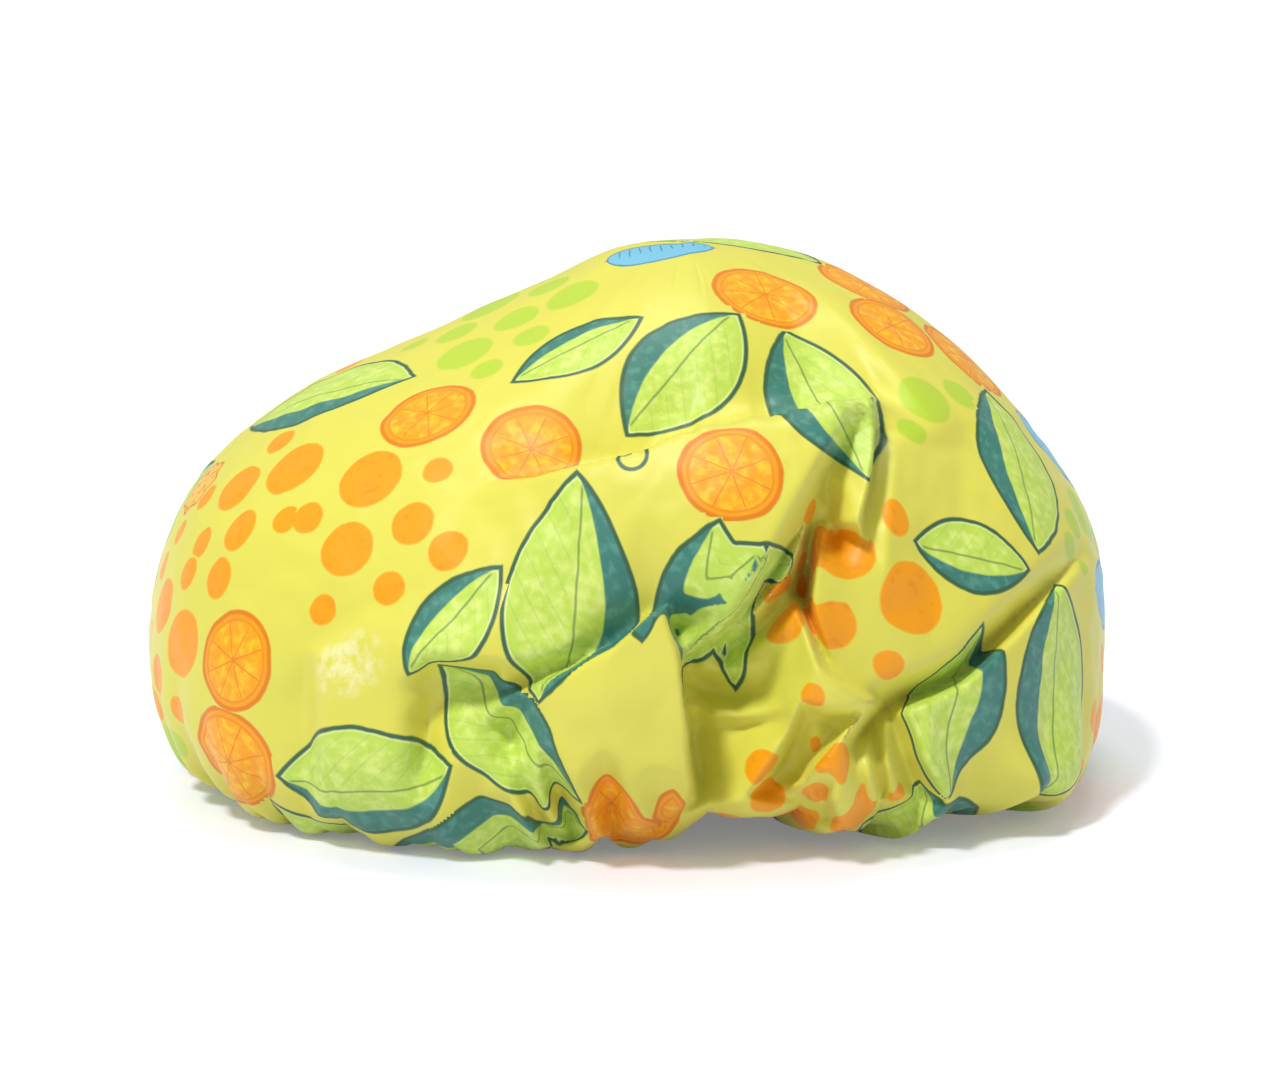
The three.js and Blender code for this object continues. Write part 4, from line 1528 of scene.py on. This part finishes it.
@dataclass
class StampField:
    """Shader values that a stamp is painted from, in millimetres along its own axes."""

    nodes: NodeSet
    seed_spread: float = 40.0
    wander_scale: float = 0.16
    wander_across: float = 0.8
    stain_scale: float = 0.35

    def __post_init__(self) -> None:
        """Reads the sheet's maps, and lets what is painted wander a little as if by hand."""
        nodes = self.nodes
        x, y = nodes.map_parts("stamp_place")
        self.length, self.width = nodes.map_parts("stamp_size")
        self.kind, self.seed = nodes.map_parts("stamp_kind")
        apart = self.seed * self.seed_spread
        self.wander = nodes.noise(nodes.vector(x, y, apart), self.wander_scale) - 0.5
        self.x, self.y = x + self.wander, y + self.wander * self.wander_across
        self.reach = (self.x * self.x + self.y * self.y).math("SQRT")
        self.angle = self.y.math("ARCTAN2", self.x)
        self.disc = self.length - self.reach
        self.along = self.x / self.length
        self.stain = nodes.noise(nodes.vector(self.x, self.y, apart), self.stain_scale, 3.0)


class Motif(Protocol):
    """Anything that can be painted on the cloth."""

    def paint(self, paint: Paint, stamp: StampField) -> None:
        """Paints it over what is there, where the stamp is of its kind.

        Args:
            paint: The print so far.
            stamp: The stamp's values.
        """


@dataclass(frozen=True)
class HazePaint:
    """A pale cloud with no outline."""

    colour: Colour = linear(240, 236, 184)
    stain: Span = (0.3, 0.7)
    strength: float = 0.8

    def paint(self, paint: Paint, stamp: StampField) -> None:
        """Paints the cloud."""
        across = stamp.y / stamp.width
        middle = Signal.flipped((stamp.along * stamp.along + across * across).ramp(0.0, 1.0))
        cloud = stamp.kind.is_kind(StampKind.HAZE) * middle * stamp.stain.ramp(*self.stain)
        paint.over(cloud * self.strength, self.colour)


@dataclass(frozen=True)
class LeafPaint:
    """A leaf with a pale rim, one shaded side, a midrib and faint veins."""

    colour: Colour = linear(190, 218, 82)
    light: Colour = linear(218, 234, 122)
    rim: Colour = linear(228, 238, 150)
    shade: Colour = linear(60, 124, 110)
    shade_light: Colour = linear(90, 154, 136)
    outline: Colour = linear(54, 98, 66)
    rim_width: float = 1.1
    light_inset: float = 2.4
    light_rise: Span = (-1.0, 2.0)
    light_stain: Span = (0.35, 0.75)
    shade_from: float = 0.5
    shade_stain: Span = (0.45, 0.7)
    shade_stain_strength: float = 0.7
    midrib_inset: float = 1.6
    midrib_aside: float = 0.08
    midrib_line: Span = (0.3, 0.2)
    midrib_strength: float = 0.6
    veins: float = 24.0
    vein_slant: float = 1.1
    vein_crest: Span = (0.9, 0.99)
    vein_side: Span = (0.2, 1.0)
    vein_strength: float = 0.12
    line_inset: float = 0.1
    line: Span = (0.595, 0.3)

    def paint(self, paint: Paint, stamp: StampField) -> None:
        """Paints the leaf."""
        width, x, y = stamp.width, stamp.x, stamp.y
        aside = y.math("ABSOLUTE")
        is_leaf = stamp.kind.is_kind(StampKind.LEAF)
        swell = width * Signal.flipped(stamp.along * stamp.along)
        slope = (width * x * 2.0) / (stamp.length * stamp.length)
        inside = (swell - aside) / (slope * slope + 1.0).math("SQRT")
        blade = is_leaf * inside.ramp(*EDGE)
        paint.over(blade, self.rim)
        paint.over(is_leaf * (inside - self.rim_width).ramp(*EDGE), self.colour)
        lit = is_leaf * (inside - self.light_inset).ramp(*self.light_rise)
        paint.over(lit * stamp.stain.ramp(*self.light_stain), self.light)
        shaded = blade * (-y - swell * self.shade_from).ramp(*EDGE)
        paint.over(shaded, self.shade)
        paint.over(shaded * stamp.stain.ramp(*self.shade_stain) * self.shade_stain_strength, self.shade_light)
        midrib = is_leaf * (inside - self.midrib_inset).ramp(*EDGE)
        midrib = midrib * (y + width * self.midrib_aside).line(*self.midrib_line)
        veins = (stamp.along * self.veins - aside * self.vein_slant).math("SINE").ramp(*self.vein_crest)
        paint.over(midrib * self.midrib_strength, self.outline)
        paint.over(blade * veins * y.ramp(*self.vein_side) * self.vein_strength, self.shade)
        paint.over(is_leaf * (inside - self.line_inset).line(*self.line), self.outline)


@dataclass(frozen=True)
class SlicePaint:
    """A round slice of orange with its rind, eight segments and flecked flesh."""

    colour: Colour = linear(246, 160, 4)
    light: Colour = linear(250, 196, 30)
    dark: Colour = linear(224, 126, 4)
    half_segments: float = 4.0
    seed_turn: float = 6.0
    flesh_inset: float = 2.2
    flesh_stain: Span = (0.4, 0.7)
    seam: Span = (0.4, 1.1)
    seam_strength: float = 0.8
    rind_inset: float = 1.9
    rind_line: Span = (0.3, 0.25)
    rind_strength: float = 0.6
    line: Span = (0.63, 0.3)

    def paint(self, paint: Paint, stamp: StampField) -> None:
        """Paints the slice."""
        is_slice = stamp.kind.is_kind(StampKind.SLICE)
        face = is_slice * stamp.disc.ramp(*EDGE)
        paint.over(face, self.colour)
        turned = stamp.angle * self.half_segments + stamp.seed * self.seed_turn
        seams = turned.math("SINE").math("ABSOLUTE") * stamp.reach
        flesh = face * (stamp.disc - self.flesh_inset).ramp(*EDGE)
        paint.over(flesh * stamp.stain.ramp(*self.flesh_stain), self.light)
        paint.over(flesh * Signal.flipped(seams.ramp(*self.seam)) * self.seam_strength, self.dark)
        rind = (stamp.disc - self.rind_inset).line(*self.rind_line)
        paint.over(face * rind * self.rind_strength, self.dark)
        paint.over(is_slice * stamp.disc.line(*self.line), self.dark)


@dataclass(frozen=True)
class DotPaint:
    """A round dot, with faint stains where it has a colour for them."""

    kind: StampKind
    colour: Colour
    softness: float
    stain_colour: Colour | None = None
    stain: Span = (0.55, 0.7)
    stain_strength: float = 0.35

    def paint(self, paint: Paint, stamp: StampField) -> None:
        """Paints the dot."""
        dot = stamp.kind.is_kind(self.kind) * stamp.disc.ramp(-self.softness, self.softness)
        paint.over(dot, self.colour)
        if self.stain_colour is not None:
            paint.over(dot * stamp.stain.ramp(*self.stain) * self.stain_strength, self.stain_colour)


@dataclass(frozen=True)
class BlossomPaint:
    """A small round blossom with seven petals and dark pips."""

    colour: Colour = linear(238, 190, 84)
    dark: Colour = linear(214, 136, 44)
    petals: float = 7.0
    petal_depth: float = 0.08
    body_share: float = 0.94
    pip_inset: float = 1.0
    pip_seed: float = 9.0
    pip_scale: float = 0.5
    pips: Span = (0.60, 0.66)
    line: Span = (0.49, 0.3)

    def paint(self, paint: Paint, stamp: StampField) -> None:
        """Paints the blossom."""
        is_blossom = stamp.kind.is_kind(StampKind.BLOSSOM)
        petals = (stamp.angle * self.petals).math("SINE") * self.petal_depth + self.body_share
        inside = stamp.length * petals - stamp.reach
        paint.over(is_blossom * inside.ramp(*EDGE), self.colour)
        place = stamp.nodes.vector(stamp.x, stamp.y, stamp.seed * self.pip_seed)
        pips = stamp.nodes.noise(place, self.pip_scale, 0.0).ramp(*self.pips)
        paint.over(is_blossom * (inside - self.pip_inset).ramp(*EDGE) * pips, self.dark)
        paint.over(is_blossom * inside.line(*self.line), self.dark)


@dataclass(frozen=True)
class DropPaint:
    """A drop of water, hatched on one side."""

    colour: Colour = linear(116, 192, 220)
    dark: Colour = linear(66, 136, 158)
    bulge: float = 1.75
    tip_power: float = 0.62
    hatches: float = 2.2
    hatch_crest: Span = (0.8, 0.98)
    hatch_side: Span = (-1.0, 2.0)
    hatch_wander: float = 8.0
    hatch_inset: float = 1.2
    line: Span = (0.56, 0.3)

    def paint(self, paint: Paint, stamp: StampField) -> None:
        """Paints the drop."""
        is_drop = stamp.kind.is_kind(StampKind.DROP)
        onward = stamp.along * 0.5 + 0.5
        tip = Signal.flipped(onward).math("MAXIMUM", 0.0).math("POWER", self.tip_power)
        foot = onward.math("MAXIMUM", 0.0).math("SQRT")
        inside = stamp.width * self.bulge * tip * foot - stamp.y.math("ABSOLUTE")
        inside = inside.math("MINIMUM", stamp.length - stamp.x.math("ABSOLUTE"))
        paint.over(is_drop * inside.ramp(*EDGE), self.colour)
        hatch = (stamp.x * self.hatches).math("SINE").ramp(*self.hatch_crest)
        hatch = hatch * (stamp.y + stamp.wander * self.hatch_wander).ramp(*self.hatch_side)
        paint.over(is_drop * (inside - self.hatch_inset).ramp(*EDGE) * hatch, self.dark)
        paint.over(is_drop * inside.line(*self.line), self.dark)


@dataclass(frozen=True)
class TendrilPaint:
    """A curled tendril that ends in a bud."""

    colour: Colour = linear(54, 98, 66)
    bud_colour: Colour = linear(60, 124, 110)
    opening: float = 0.09
    middle_share: float = 0.62
    line: Span = (0.56, 0.25)
    bud_place: float = 0.35
    bud_edge: Span = (1.6, 2.2)

    def paint(self, paint: Paint, stamp: StampField) -> None:
        """Paints the tendril."""
        is_tendril = stamp.kind.is_kind(StampKind.TENDRIL)
        coil = stamp.reach - stamp.length * (stamp.angle * self.opening + self.middle_share)
        across = stamp.x + stamp.length * self.bud_place
        bud = Signal.flipped((across * across + stamp.y * stamp.y).math("SQRT").ramp(*self.bud_edge))
        paint.over(is_tendril * coil.line(*self.line), self.colour)
        paint.over(is_tendril * bud, self.bud_colour)


@dataclass(frozen=True)
class PrintedSatin:
    """Thin printed polyester with a soft sheen: its motifs, its crumple and its weave."""

    ground: Colour = linear(222, 216, 84)
    motifs: tuple[Motif, ...] = (
        HazePaint(), LeafPaint(), SlicePaint(),
        DotPaint(StampKind.LIME_DOT, linear(186, 212, 56), 0.6),
        DotPaint(StampKind.ORANGE_DOT, linear(246, 160, 4), 0.4, linear(224, 126, 4)),
        BlossomPaint(), DropPaint(), TendrilPaint())
    roughness: float = 0.44
    roughness_spread: float = 0.10
    roughness_scale: float = 30.0
    sheen: float = 0.08
    sheen_roughness: float = 0.4
    specular: float = 0.42
    crumple_scale: float = 55.0
    crumple_height: float = 0.0010
    threads_per_metre: float = 9000.0
    weave_height: float = 0.000005
    bump_strength: float = 0.5

    def build(self) -> Material:
        """Makes the material.

        Returns:
            The material.
        """
        nodes = NodeSet("printed_satin")
        paint = Paint(nodes.tree, self.ground)
        stamp = StampField(nodes)
        for motif in self.motifs:
            motif.paint(paint, stamp)
        nodes.feed("Base Color", paint.socket)
        place = nodes.object_place()
        warp, weft = (part * self.threads_per_metre for part in nodes.map_parts("cut"))
        crumple = nodes.noise(place, self.crumple_scale, 3.0)
        soft = nodes.bump(crumple, self.crumple_height, self.bump_strength)
        weave = warp.math("SINE") + weft.math("SINE")
        nodes.feed("Normal", nodes.bump(weave, self.weave_height, self.bump_strength, soft))
        rough = nodes.noise(place, self.roughness_scale) * self.roughness_spread
        nodes.feed("Roughness", (rough + (self.roughness - self.roughness_spread / 2)).socket)
        nodes.set(Sheen_Weight=self.sheen, Sheen_Roughness=self.sheen_roughness)
        nodes.set(Specular_IOR_Level=self.specular)
        return nodes.material


@dataclass(frozen=True)
class LiningFilm:
    """Milky waterproof film with a soft crinkle."""

    colour: Colour = linear(238, 238, 230)
    shade: Colour = linear(226, 228, 214)
    shade_range: Span = (0.3, 0.8)
    shade_strength: float = 0.25
    cloud_scale: float = 40.0
    crinkle_scale: float = 110.0
    crinkle_height: float = 0.0009
    crinkle_strength: float = 0.6
    roughness: float = 0.32
    roughness_spread: float = 0.12
    gloss: float = 0.15
    gloss_roughness: float = 0.25

    def build(self) -> Material:
        """Makes the material.

        Returns:
            The material.
        """
        nodes = NodeSet("lining_film")
        place = nodes.object_place()
        cloud = nodes.noise(place, self.cloud_scale, 3.0)
        paint = Paint(nodes.tree, self.colour)
        paint.over(cloud.ramp(*self.shade_range) * self.shade_strength, self.shade)
        nodes.feed("Base Color", paint.socket)
        crinkle = nodes.noise(place, self.crinkle_scale, 4.0)
        nodes.feed("Normal", nodes.bump(crinkle, self.crinkle_height, self.crinkle_strength))
        rough = cloud * self.roughness_spread + (self.roughness - self.roughness_spread / 2)
        nodes.feed("Roughness", rough.socket)
        nodes.set(Specular_IOR_Level=0.5, Coat_Weight=self.gloss, Coat_Roughness=self.gloss_roughness)
        return nodes.material


@dataclass(frozen=True)
class KnittedElastic:
    """White elastic, knitted over lengthwise rubber cords."""

    colour: Colour = linear(246, 244, 236)
    # The colour of the painted shade in the knit's hollows.
    shade: Colour = linear(214, 212, 200)
    shade_range: Span = (-1.0, 0.2)
    loops_per_metre: float = 1400.0
    wales: float = 9000.0
    knit_height: float = 0.0002
    knit_strength: float = 0.6
    roughness: float = 0.85
    sheen: float = 0.3
    sheen_roughness: float = 0.5

    def build(self) -> Material:
        """Makes the material.

        Returns:
            The material.
        """
        nodes = NodeSet("knitted_elastic")
        along, across = nodes.map_parts("cut")
        knit = (along * (self.loops_per_metre * FULL_TURN)).math("SINE") * (across * self.wales).math("SINE")
        paint = Paint(nodes.tree, self.colour)
        # Painted shade: the knit's hollows, where its bump is low, are painted darker.
        paint.over(Signal.flipped(knit.ramp(*self.shade_range)), self.shade)
        nodes.feed("Base Color", paint.socket)
        nodes.feed("Normal", nodes.bump(knit, self.knit_height, self.knit_strength))
        nodes.set(Roughness=self.roughness, Sheen_Weight=self.sheen, Sheen_Roughness=self.sheen_roughness)
        return nodes.material


@dataclass(frozen=True)
class SewingThread:
    """Spun polyester thread in two plies."""

    name: str
    colour: Colour
    shade_share: float = 0.7
    shade_range: Span = (0.35, 0.7)
    shade_strength: float = 0.5
    ply_scale: float = 2600.0
    ply_height: float = 0.0001
    ply_strength: float = 0.7
    roughness: float = 0.62
    sheen: float = 0.2

    def build(self) -> Material:
        """Makes the material.

        Returns:
            The material.
        """
        nodes = NodeSet(self.name)
        plies = nodes.noise(nodes.object_place(), self.ply_scale)
        darker = tuple(self.shade_share * channel for channel in self.colour)
        paint = Paint(nodes.tree, self.colour)
        paint.over(plies.ramp(*self.shade_range) * self.shade_strength, darker)
        nodes.feed("Base Color", paint.socket)
        nodes.feed("Normal", nodes.bump(plies, self.ply_height, self.ply_strength))
        nodes.set(Roughness=self.roughness, Sheen_Weight=self.sheen)
        return nodes.material


def finish_piece(mesh: Mesh, material: Material, slot: str, *nodes: str) -> Object:
    """Makes a finished piece of a mesh and ties it to the frame.

    Args:
        mesh: The piece's mesh, whose name the piece takes.
        material: Its material.
        slot: Not used.
        nodes: The frame's nodes that it stands for.

    Returns:
        The piece, riding on the frame's one body.
    """
    mesh.materials.clear()
    mesh.materials.append(material)
    piece = added(mesh.name, mesh)
    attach(piece, "root")
    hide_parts(*nodes)
    LOG.info("%s: %d facets", piece.name, len(mesh.polygons))
    return piece


@dataclass
class PrintedShell:
    """The outer cloth: one printed disc whose edge is turned in to make the hem's casing.

    The turned edge rounds the hem's nose and runs back up as the leg. Each of the nose's rings has
    shares of its reach and of its middle depth, and how far over the cloth it lies from the fold line.
    """

    cloth: CapCloth
    hem: HemSizes
    finish: PrintedSatin = PrintedSatin()
    nose_shares: tuple[Span, ...] = ((0.7, 0.3), (1.0, 1.0), (0.7, 1.7))
    nose_runs: tuple[float, ...] = (0.0004, 0.0012, 0.002)
    nose_length: float = 0.0024
    leg_backs: tuple[float, ...] = (0.0, 0.0016, 0.0034, 0.0052, 0.0067, 0.0084, 0.010)

    def build(self) -> None:
        """Makes the printed shell."""
        cloth, hem = self.cloth, self.hem
        middle = (hem.casing_depth + hem.wall) / 2
        nose = [cloth.ring(-reach * hem.nose, middle * deep) for reach, deep in self.nose_shares]
        leg = [cloth.ring(back, hem.leg_depth(back)) for back in self.leg_backs]
        points = np.concatenate([cloth.face, np.stack(nose + leg)])
        mesh = grid_mesh("printed_shell", points)
        turned = np.array([*self.nose_runs, *(self.nose_length + back for back in self.leg_backs)])
        cloth.write_cut_map(mesh, np.append(cloth.grid.shares(), 1 + turned / cloth.form.cut_radius))
        smooth = np.concatenate([cloth.smooth, np.repeat(cloth.smooth[-1:], len(turned), 0)])
        PrintLayout(cloth).dress(PrintedSheet(mesh, smooth, points))
        shell = finish_piece(mesh, self.finish.build(), "printed_cloth", "outer_shell")


@dataclass
class WaterproofLining:
    """The film inside the cloth, whose edge ends under the casing."""

    cloth: CapCloth
    hem: HemSizes
    finish: LiningFilm = LiningFilm()
    even_from: float = 0.6
    even_over: float = 0.2

    def build(self) -> None:
        """Makes the lining."""
        cloth, hem = self.cloth, self.hem
        depth = hem.film_depth
        end = 1 - hem.film_back / cloth.form.cut_radius
        last = int(np.searchsorted(cloth.grid.shares(), end))
        rows = np.arange(last)
        even = np.clip((cloth.shares[rows] - self.even_from) / self.even_over, 0, 1)[..., None]
        normals = cloth.normals[rows] * (1 - even) + cloth.even_normals[rows] * even
        points = np.concatenate([cloth.face[rows] - depth * normals, cloth.ring(hem.film_back, depth)[None]])
        mesh = grid_mesh("lining_film", points)
        mesh.flip_normals()
        cloth.write_cut_map(mesh, np.append(cloth.grid.shares()[rows], end))
        lining = finish_piece(mesh, self.finish.build(), "lining_film", "waterproof_lining")
        cut = 2 * (cloth.form.cut_radius - hem.film_back)
        math.pi * cut**2 / 4


@dataclass
class ElasticBand:
    """The flat elastic inside the casing, with lengthwise ribs, its ends meeting at the back."""

    cloth: CapCloth
    hem: HemSizes
    finish: KnittedElastic = KnittedElastic()
    join_share: float = 0.25
    ribs: int = 6
    steps_per_rib: int = 4
    rib_height: float = 0.00012

    def build(self) -> None:
        """Makes the band."""
        cloth, hem = self.cloth, self.hem
        start = int(cloth.grid.turns * self.join_share)
        order = np.roll(np.arange(cloth.grid.turns), -start - 1)
        profile = []
        count = self.ribs * self.steps_per_rib
        for side in (0, 1):
            for step in range(count + 1):
                across = (step if side == 0 else count - step) / count
                rib = self.rib_height * math.sin(math.pi * self.ribs * across) ** 2
                depth = hem.film_depth + rib if side else hem.elastic_depth - rib
                profile.append((hem.gap + across * hem.elastic_width, depth))
        rings = np.stack([cloth.ring(back, depth)[order] for back, depth in profile])
        around, along = rings.shape[:2]
        index = np.arange(around * along).reshape(around, along)
        after = np.roll(index, -1, 0)
        quads = np.stack([index[:, :-1], index[:, 1:], after[:, 1:], after[:, :-1]], -1).reshape(-1, 4)
        caps = [index[:, 0][::-1].tolist(), index[:, -1].tolist()]
        mesh = bpy.data.meshes.new("knitted_elastic")
        mesh.from_pydata(rings.reshape(-1, 3).tolist(), [], quads.tolist() + caps)
        shade_smooth(mesh)
        lengths = norm(np.diff(rings[0], axis=0), axis=1)
        run = np.concatenate([[0], np.cumsum(lengths)])
        across = np.array([back for back, _ in profile])
        cut = np.stack([np.tile(run, around), np.repeat(across, along)], -1)
        write_map(mesh, "cut", cut[corner_points(mesh)])
        finish_piece(mesh, self.finish.build(), "knitted_elastic", "elastic_band")


@dataclass
class StitchLine:
    """One thread of the casing's lockstitch, laid by Geometry Nodes along the hem.

    It runs so deep under the cloth's outer face, and so far back from the fold line.
    """

    name: str
    node: str
    depth: float
    back: float
    finish: SewingThread
    pitch: float = 0.003
    length_share: float = 0.88
    thickness: float = 0.0004
    facets: int = 8

    def _tree(self, material: Material) -> NodeTree:
        """Makes the node tree: stitches at an even pitch along the path, real and dressed.

        Args:
            material: The thread's look.

        Returns:
            The tree.
        """
        tree = bpy.data.node_groups.new(self.name, "GeometryNodeTree")
        tree.interface.new_socket("Geometry", in_out="INPUT", socket_type="NodeSocketGeometry")
        for label in ("Pitch", "Half length", "Radius"):
            tree.interface.new_socket(label, in_out="INPUT", socket_type="NodeSocketFloat")
        tree.interface.new_socket("Geometry", in_out="OUTPUT", socket_type="NodeSocketGeometry")
        add = tree.nodes.new
        given, made = add("NodeGroupInput"), add("NodeGroupOutput")
        curve, even = add("GeometryNodeMeshToCurve"), add("GeometryNodeResampleCurve")
        even.mode = "LENGTH"
        tangent, turn = add("GeometryNodeInputTangent"), add("FunctionNodeAlignRotationToVector")
        turn.axis = "Z"
        ball, sizes = add("GeometryNodeMeshUVSphere"), add("ShaderNodeCombineXYZ")
        for label, value in (("Segments", self.facets), ("Rings", self.facets), ("Radius", 1.0)):
            ball.inputs[label].default_value = value
        place, real = add("GeometryNodeInstanceOnPoints"), add("GeometryNodeRealizeInstances")
        dress = add("GeometryNodeSetMaterial")
        dress.inputs["Material"].default_value = material
        links = (
            (given, "Geometry", curve, "Mesh"), (curve, "Curve", even, "Curve"),
            (given, "Pitch", even, "Length"), (even, "Curve", place, "Points"),
            (tangent, "Tangent", turn, "Vector"), (turn, "Rotation", place, "Rotation"),
            (given, "Radius", sizes, "X"), (given, "Radius", sizes, "Y"), (given, "Half length", sizes, "Z"),
            (sizes, "Vector", place, "Scale"), (ball, "Mesh", place, "Instance"),
            (place, "Instances", real, "Geometry"), (real, "Geometry", dress, "Geometry"),
            (dress, "Geometry", made, "Geometry"))
        for source, output, target, wanted in links:
            tree.links.new(source.outputs[output], target.inputs[wanted])
        return tree

    def build(self, cloth: CapCloth) -> None:
        """Makes the stitches round the hem of the cloth.

        Args:
            cloth: The folded cloth.
        """
        path = cloth.ring(self.back, self.depth)
        count = len(path)
        guide = bpy.data.meshes.new(self.name + "_guide")
        guide.from_pydata(path.tolist(), [(step, (step + 1) % count) for step in range(count)], [])
        carrier = added(self.name + "_guide", guide)
        material = self.finish.build()
        modifier = carrier.modifiers.new("stitches", "NODES")
        modifier.node_group = self._tree(material)
        sizes = {
            "Pitch": self.pitch,
            "Half length": self.pitch * self.length_share / 2,
            "Radius": self.thickness / 2}
        for item in modifier.node_group.interface.items_tree:
            if item.name in sizes:
                modifier[item.identifier] = sizes[item.name]
        bpy.context.view_layer.update()
        evaluated = carrier.evaluated_get(bpy.context.evaluated_depsgraph_get())
        mesh = bpy.data.meshes.new_from_object(evaluated)
        bpy.data.objects.remove(carrier)
        bpy.data.meshes.remove(guide)
        mesh.name = self.name
        shade_smooth(mesh)
        finish_piece(mesh, material, self.finish.name, self.node)


@dataclass(frozen=True)
class SoftSun:
    """A distant soft light: its strength, how soft its shadows are, and the way it shines."""

    name: str
    energy: float
    softness: float
    direction: tuple[float, float, float]

    def build(self) -> None:
        """Hangs the light up."""
        lamp = bpy.data.lights.new(self.name, "SUN")
        lamp.energy = self.energy
        lamp.angle = math.radians(self.softness)
        sun = added(self.name, lamp)
        sun.rotation_mode = "QUATERNION"
        sun.rotation_quaternion = Vector(self.direction).to_track_quat("-Z", "Y")


@dataclass(frozen=True)
class Studio:
    """A white floor, a key light from the upper front left, a soft one from above and an even fill."""

    floor_size: float = 8.0
    floor_colour: Colour = (0.82, 0.83, 0.93)
    floor_roughness: float = 0.9
    floor_specular: float = 0.1
    floor_glow: float = 0.20
    fill: float = 0.38
    suns: tuple[SoftSun, ...] = (
        SoftSun("key", 2.1, 8.0, (0.32, 0.50, -0.85)),
        SoftSun("top", 1.1, 28.0, (0.04, -0.22, -0.98)))

    def build(self) -> None:
        """Makes the floor, the lights and the world."""
        half = self.floor_size / 2
        corners = [(-half, -half, 0), (half, -half, 0), (half, half, 0), (-half, half, 0)]
        mesh = bpy.data.meshes.new("floor")
        mesh.from_pydata(corners, [], [(0, 1, 2, 3)])
        mesh.materials.append(self._floor_material())
        floor = added("floor", mesh)
        self._world()
        for sun in self.suns:
            sun.build()
        bpy.context.scene.view_settings.view_transform = "Standard"

    def _floor_material(self) -> Material:
        """Makes a floor that keeps shadows and is white to the camera where it has none.

        Returns:
            The material.
        """
        nodes = NodeSet("floor")
        nodes.set(Base_Color=self.floor_colour, Roughness=self.floor_roughness)
        nodes.set(Specular_IOR_Level=self.floor_specular, Emission_Color=(1.0, 1.0, 1.0))
        path = nodes.tree.nodes.new("ShaderNodeLightPath").outputs
        seen, mirrored = (Signal(nodes.tree, path[ray]) for ray in ("Is Camera Ray", "Is Glossy Ray"))
        nodes.feed("Emission Strength", (seen.math("MAXIMUM", mirrored) * self.floor_glow).socket)
        return nodes.material

    def _world(self) -> None:
        """Makes an even light that is white where the camera sees it."""
        world = bpy.data.worlds.new("studio")
        bpy.context.scene.world = world
        world.use_nodes = True
        tree = world.node_tree
        background = tree.nodes["Background"]
        background.inputs["Color"].default_value = (1.0, 1.0, 1.0, 1.0)
        path = tree.nodes.new("ShaderNodeLightPath").outputs
        seen, through = (Signal(tree, path[ray]) for ray in ("Is Camera Ray", "Is Transmission Ray"))
        strength = seen.math("MAXIMUM", through) * (1.0 - self.fill) + self.fill
        tree.links.new(strength.socket, background.inputs["Strength"])


def dress_join_tack(finish: SewingThread) -> None:
    """Gives the frame's own tack over the elastic's ends its thread.

    Args:
        finish: Its thread.
    """
    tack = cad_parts["elastic_join_thread"]
    tack.data.materials.clear()
    tack.data.materials.append(finish.build())


def main() -> None:
    """Builds the cap's pieces and its studio."""
    logging.basicConfig(level=logging.INFO, format="%(name)s: %(message)s")
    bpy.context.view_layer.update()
    view = PhotoView()
    view.build()
    cloth = CapCloth(view, PuffedForm())
    hem = HemSizes()
    shell_thread = SewingThread("shell_thread", linear(238, 230, 138))
    lining_thread = SewingThread("lining_thread", linear(241, 241, 236))
    PrintedShell(cloth, hem).build()
    WaterproofLining(cloth, hem).build()
    ElasticBand(cloth, hem).build()
    inset, outside = hem.stitch_inset, -hem.gap / 2
    inside = hem.leg_depth(inset) + hem.gap / 2
    StitchLine("needle_stitches", "needle_thread", outside, inset, shell_thread).build(cloth)
    StitchLine("bobbin_stitches", "bobbin_thread", inside, inset, lining_thread).build(cloth)
    dress_join_tack(SewingThread("tack_thread", linear(250, 250, 248)))
    Studio().build()


if __name__ == "__main__":
    main()
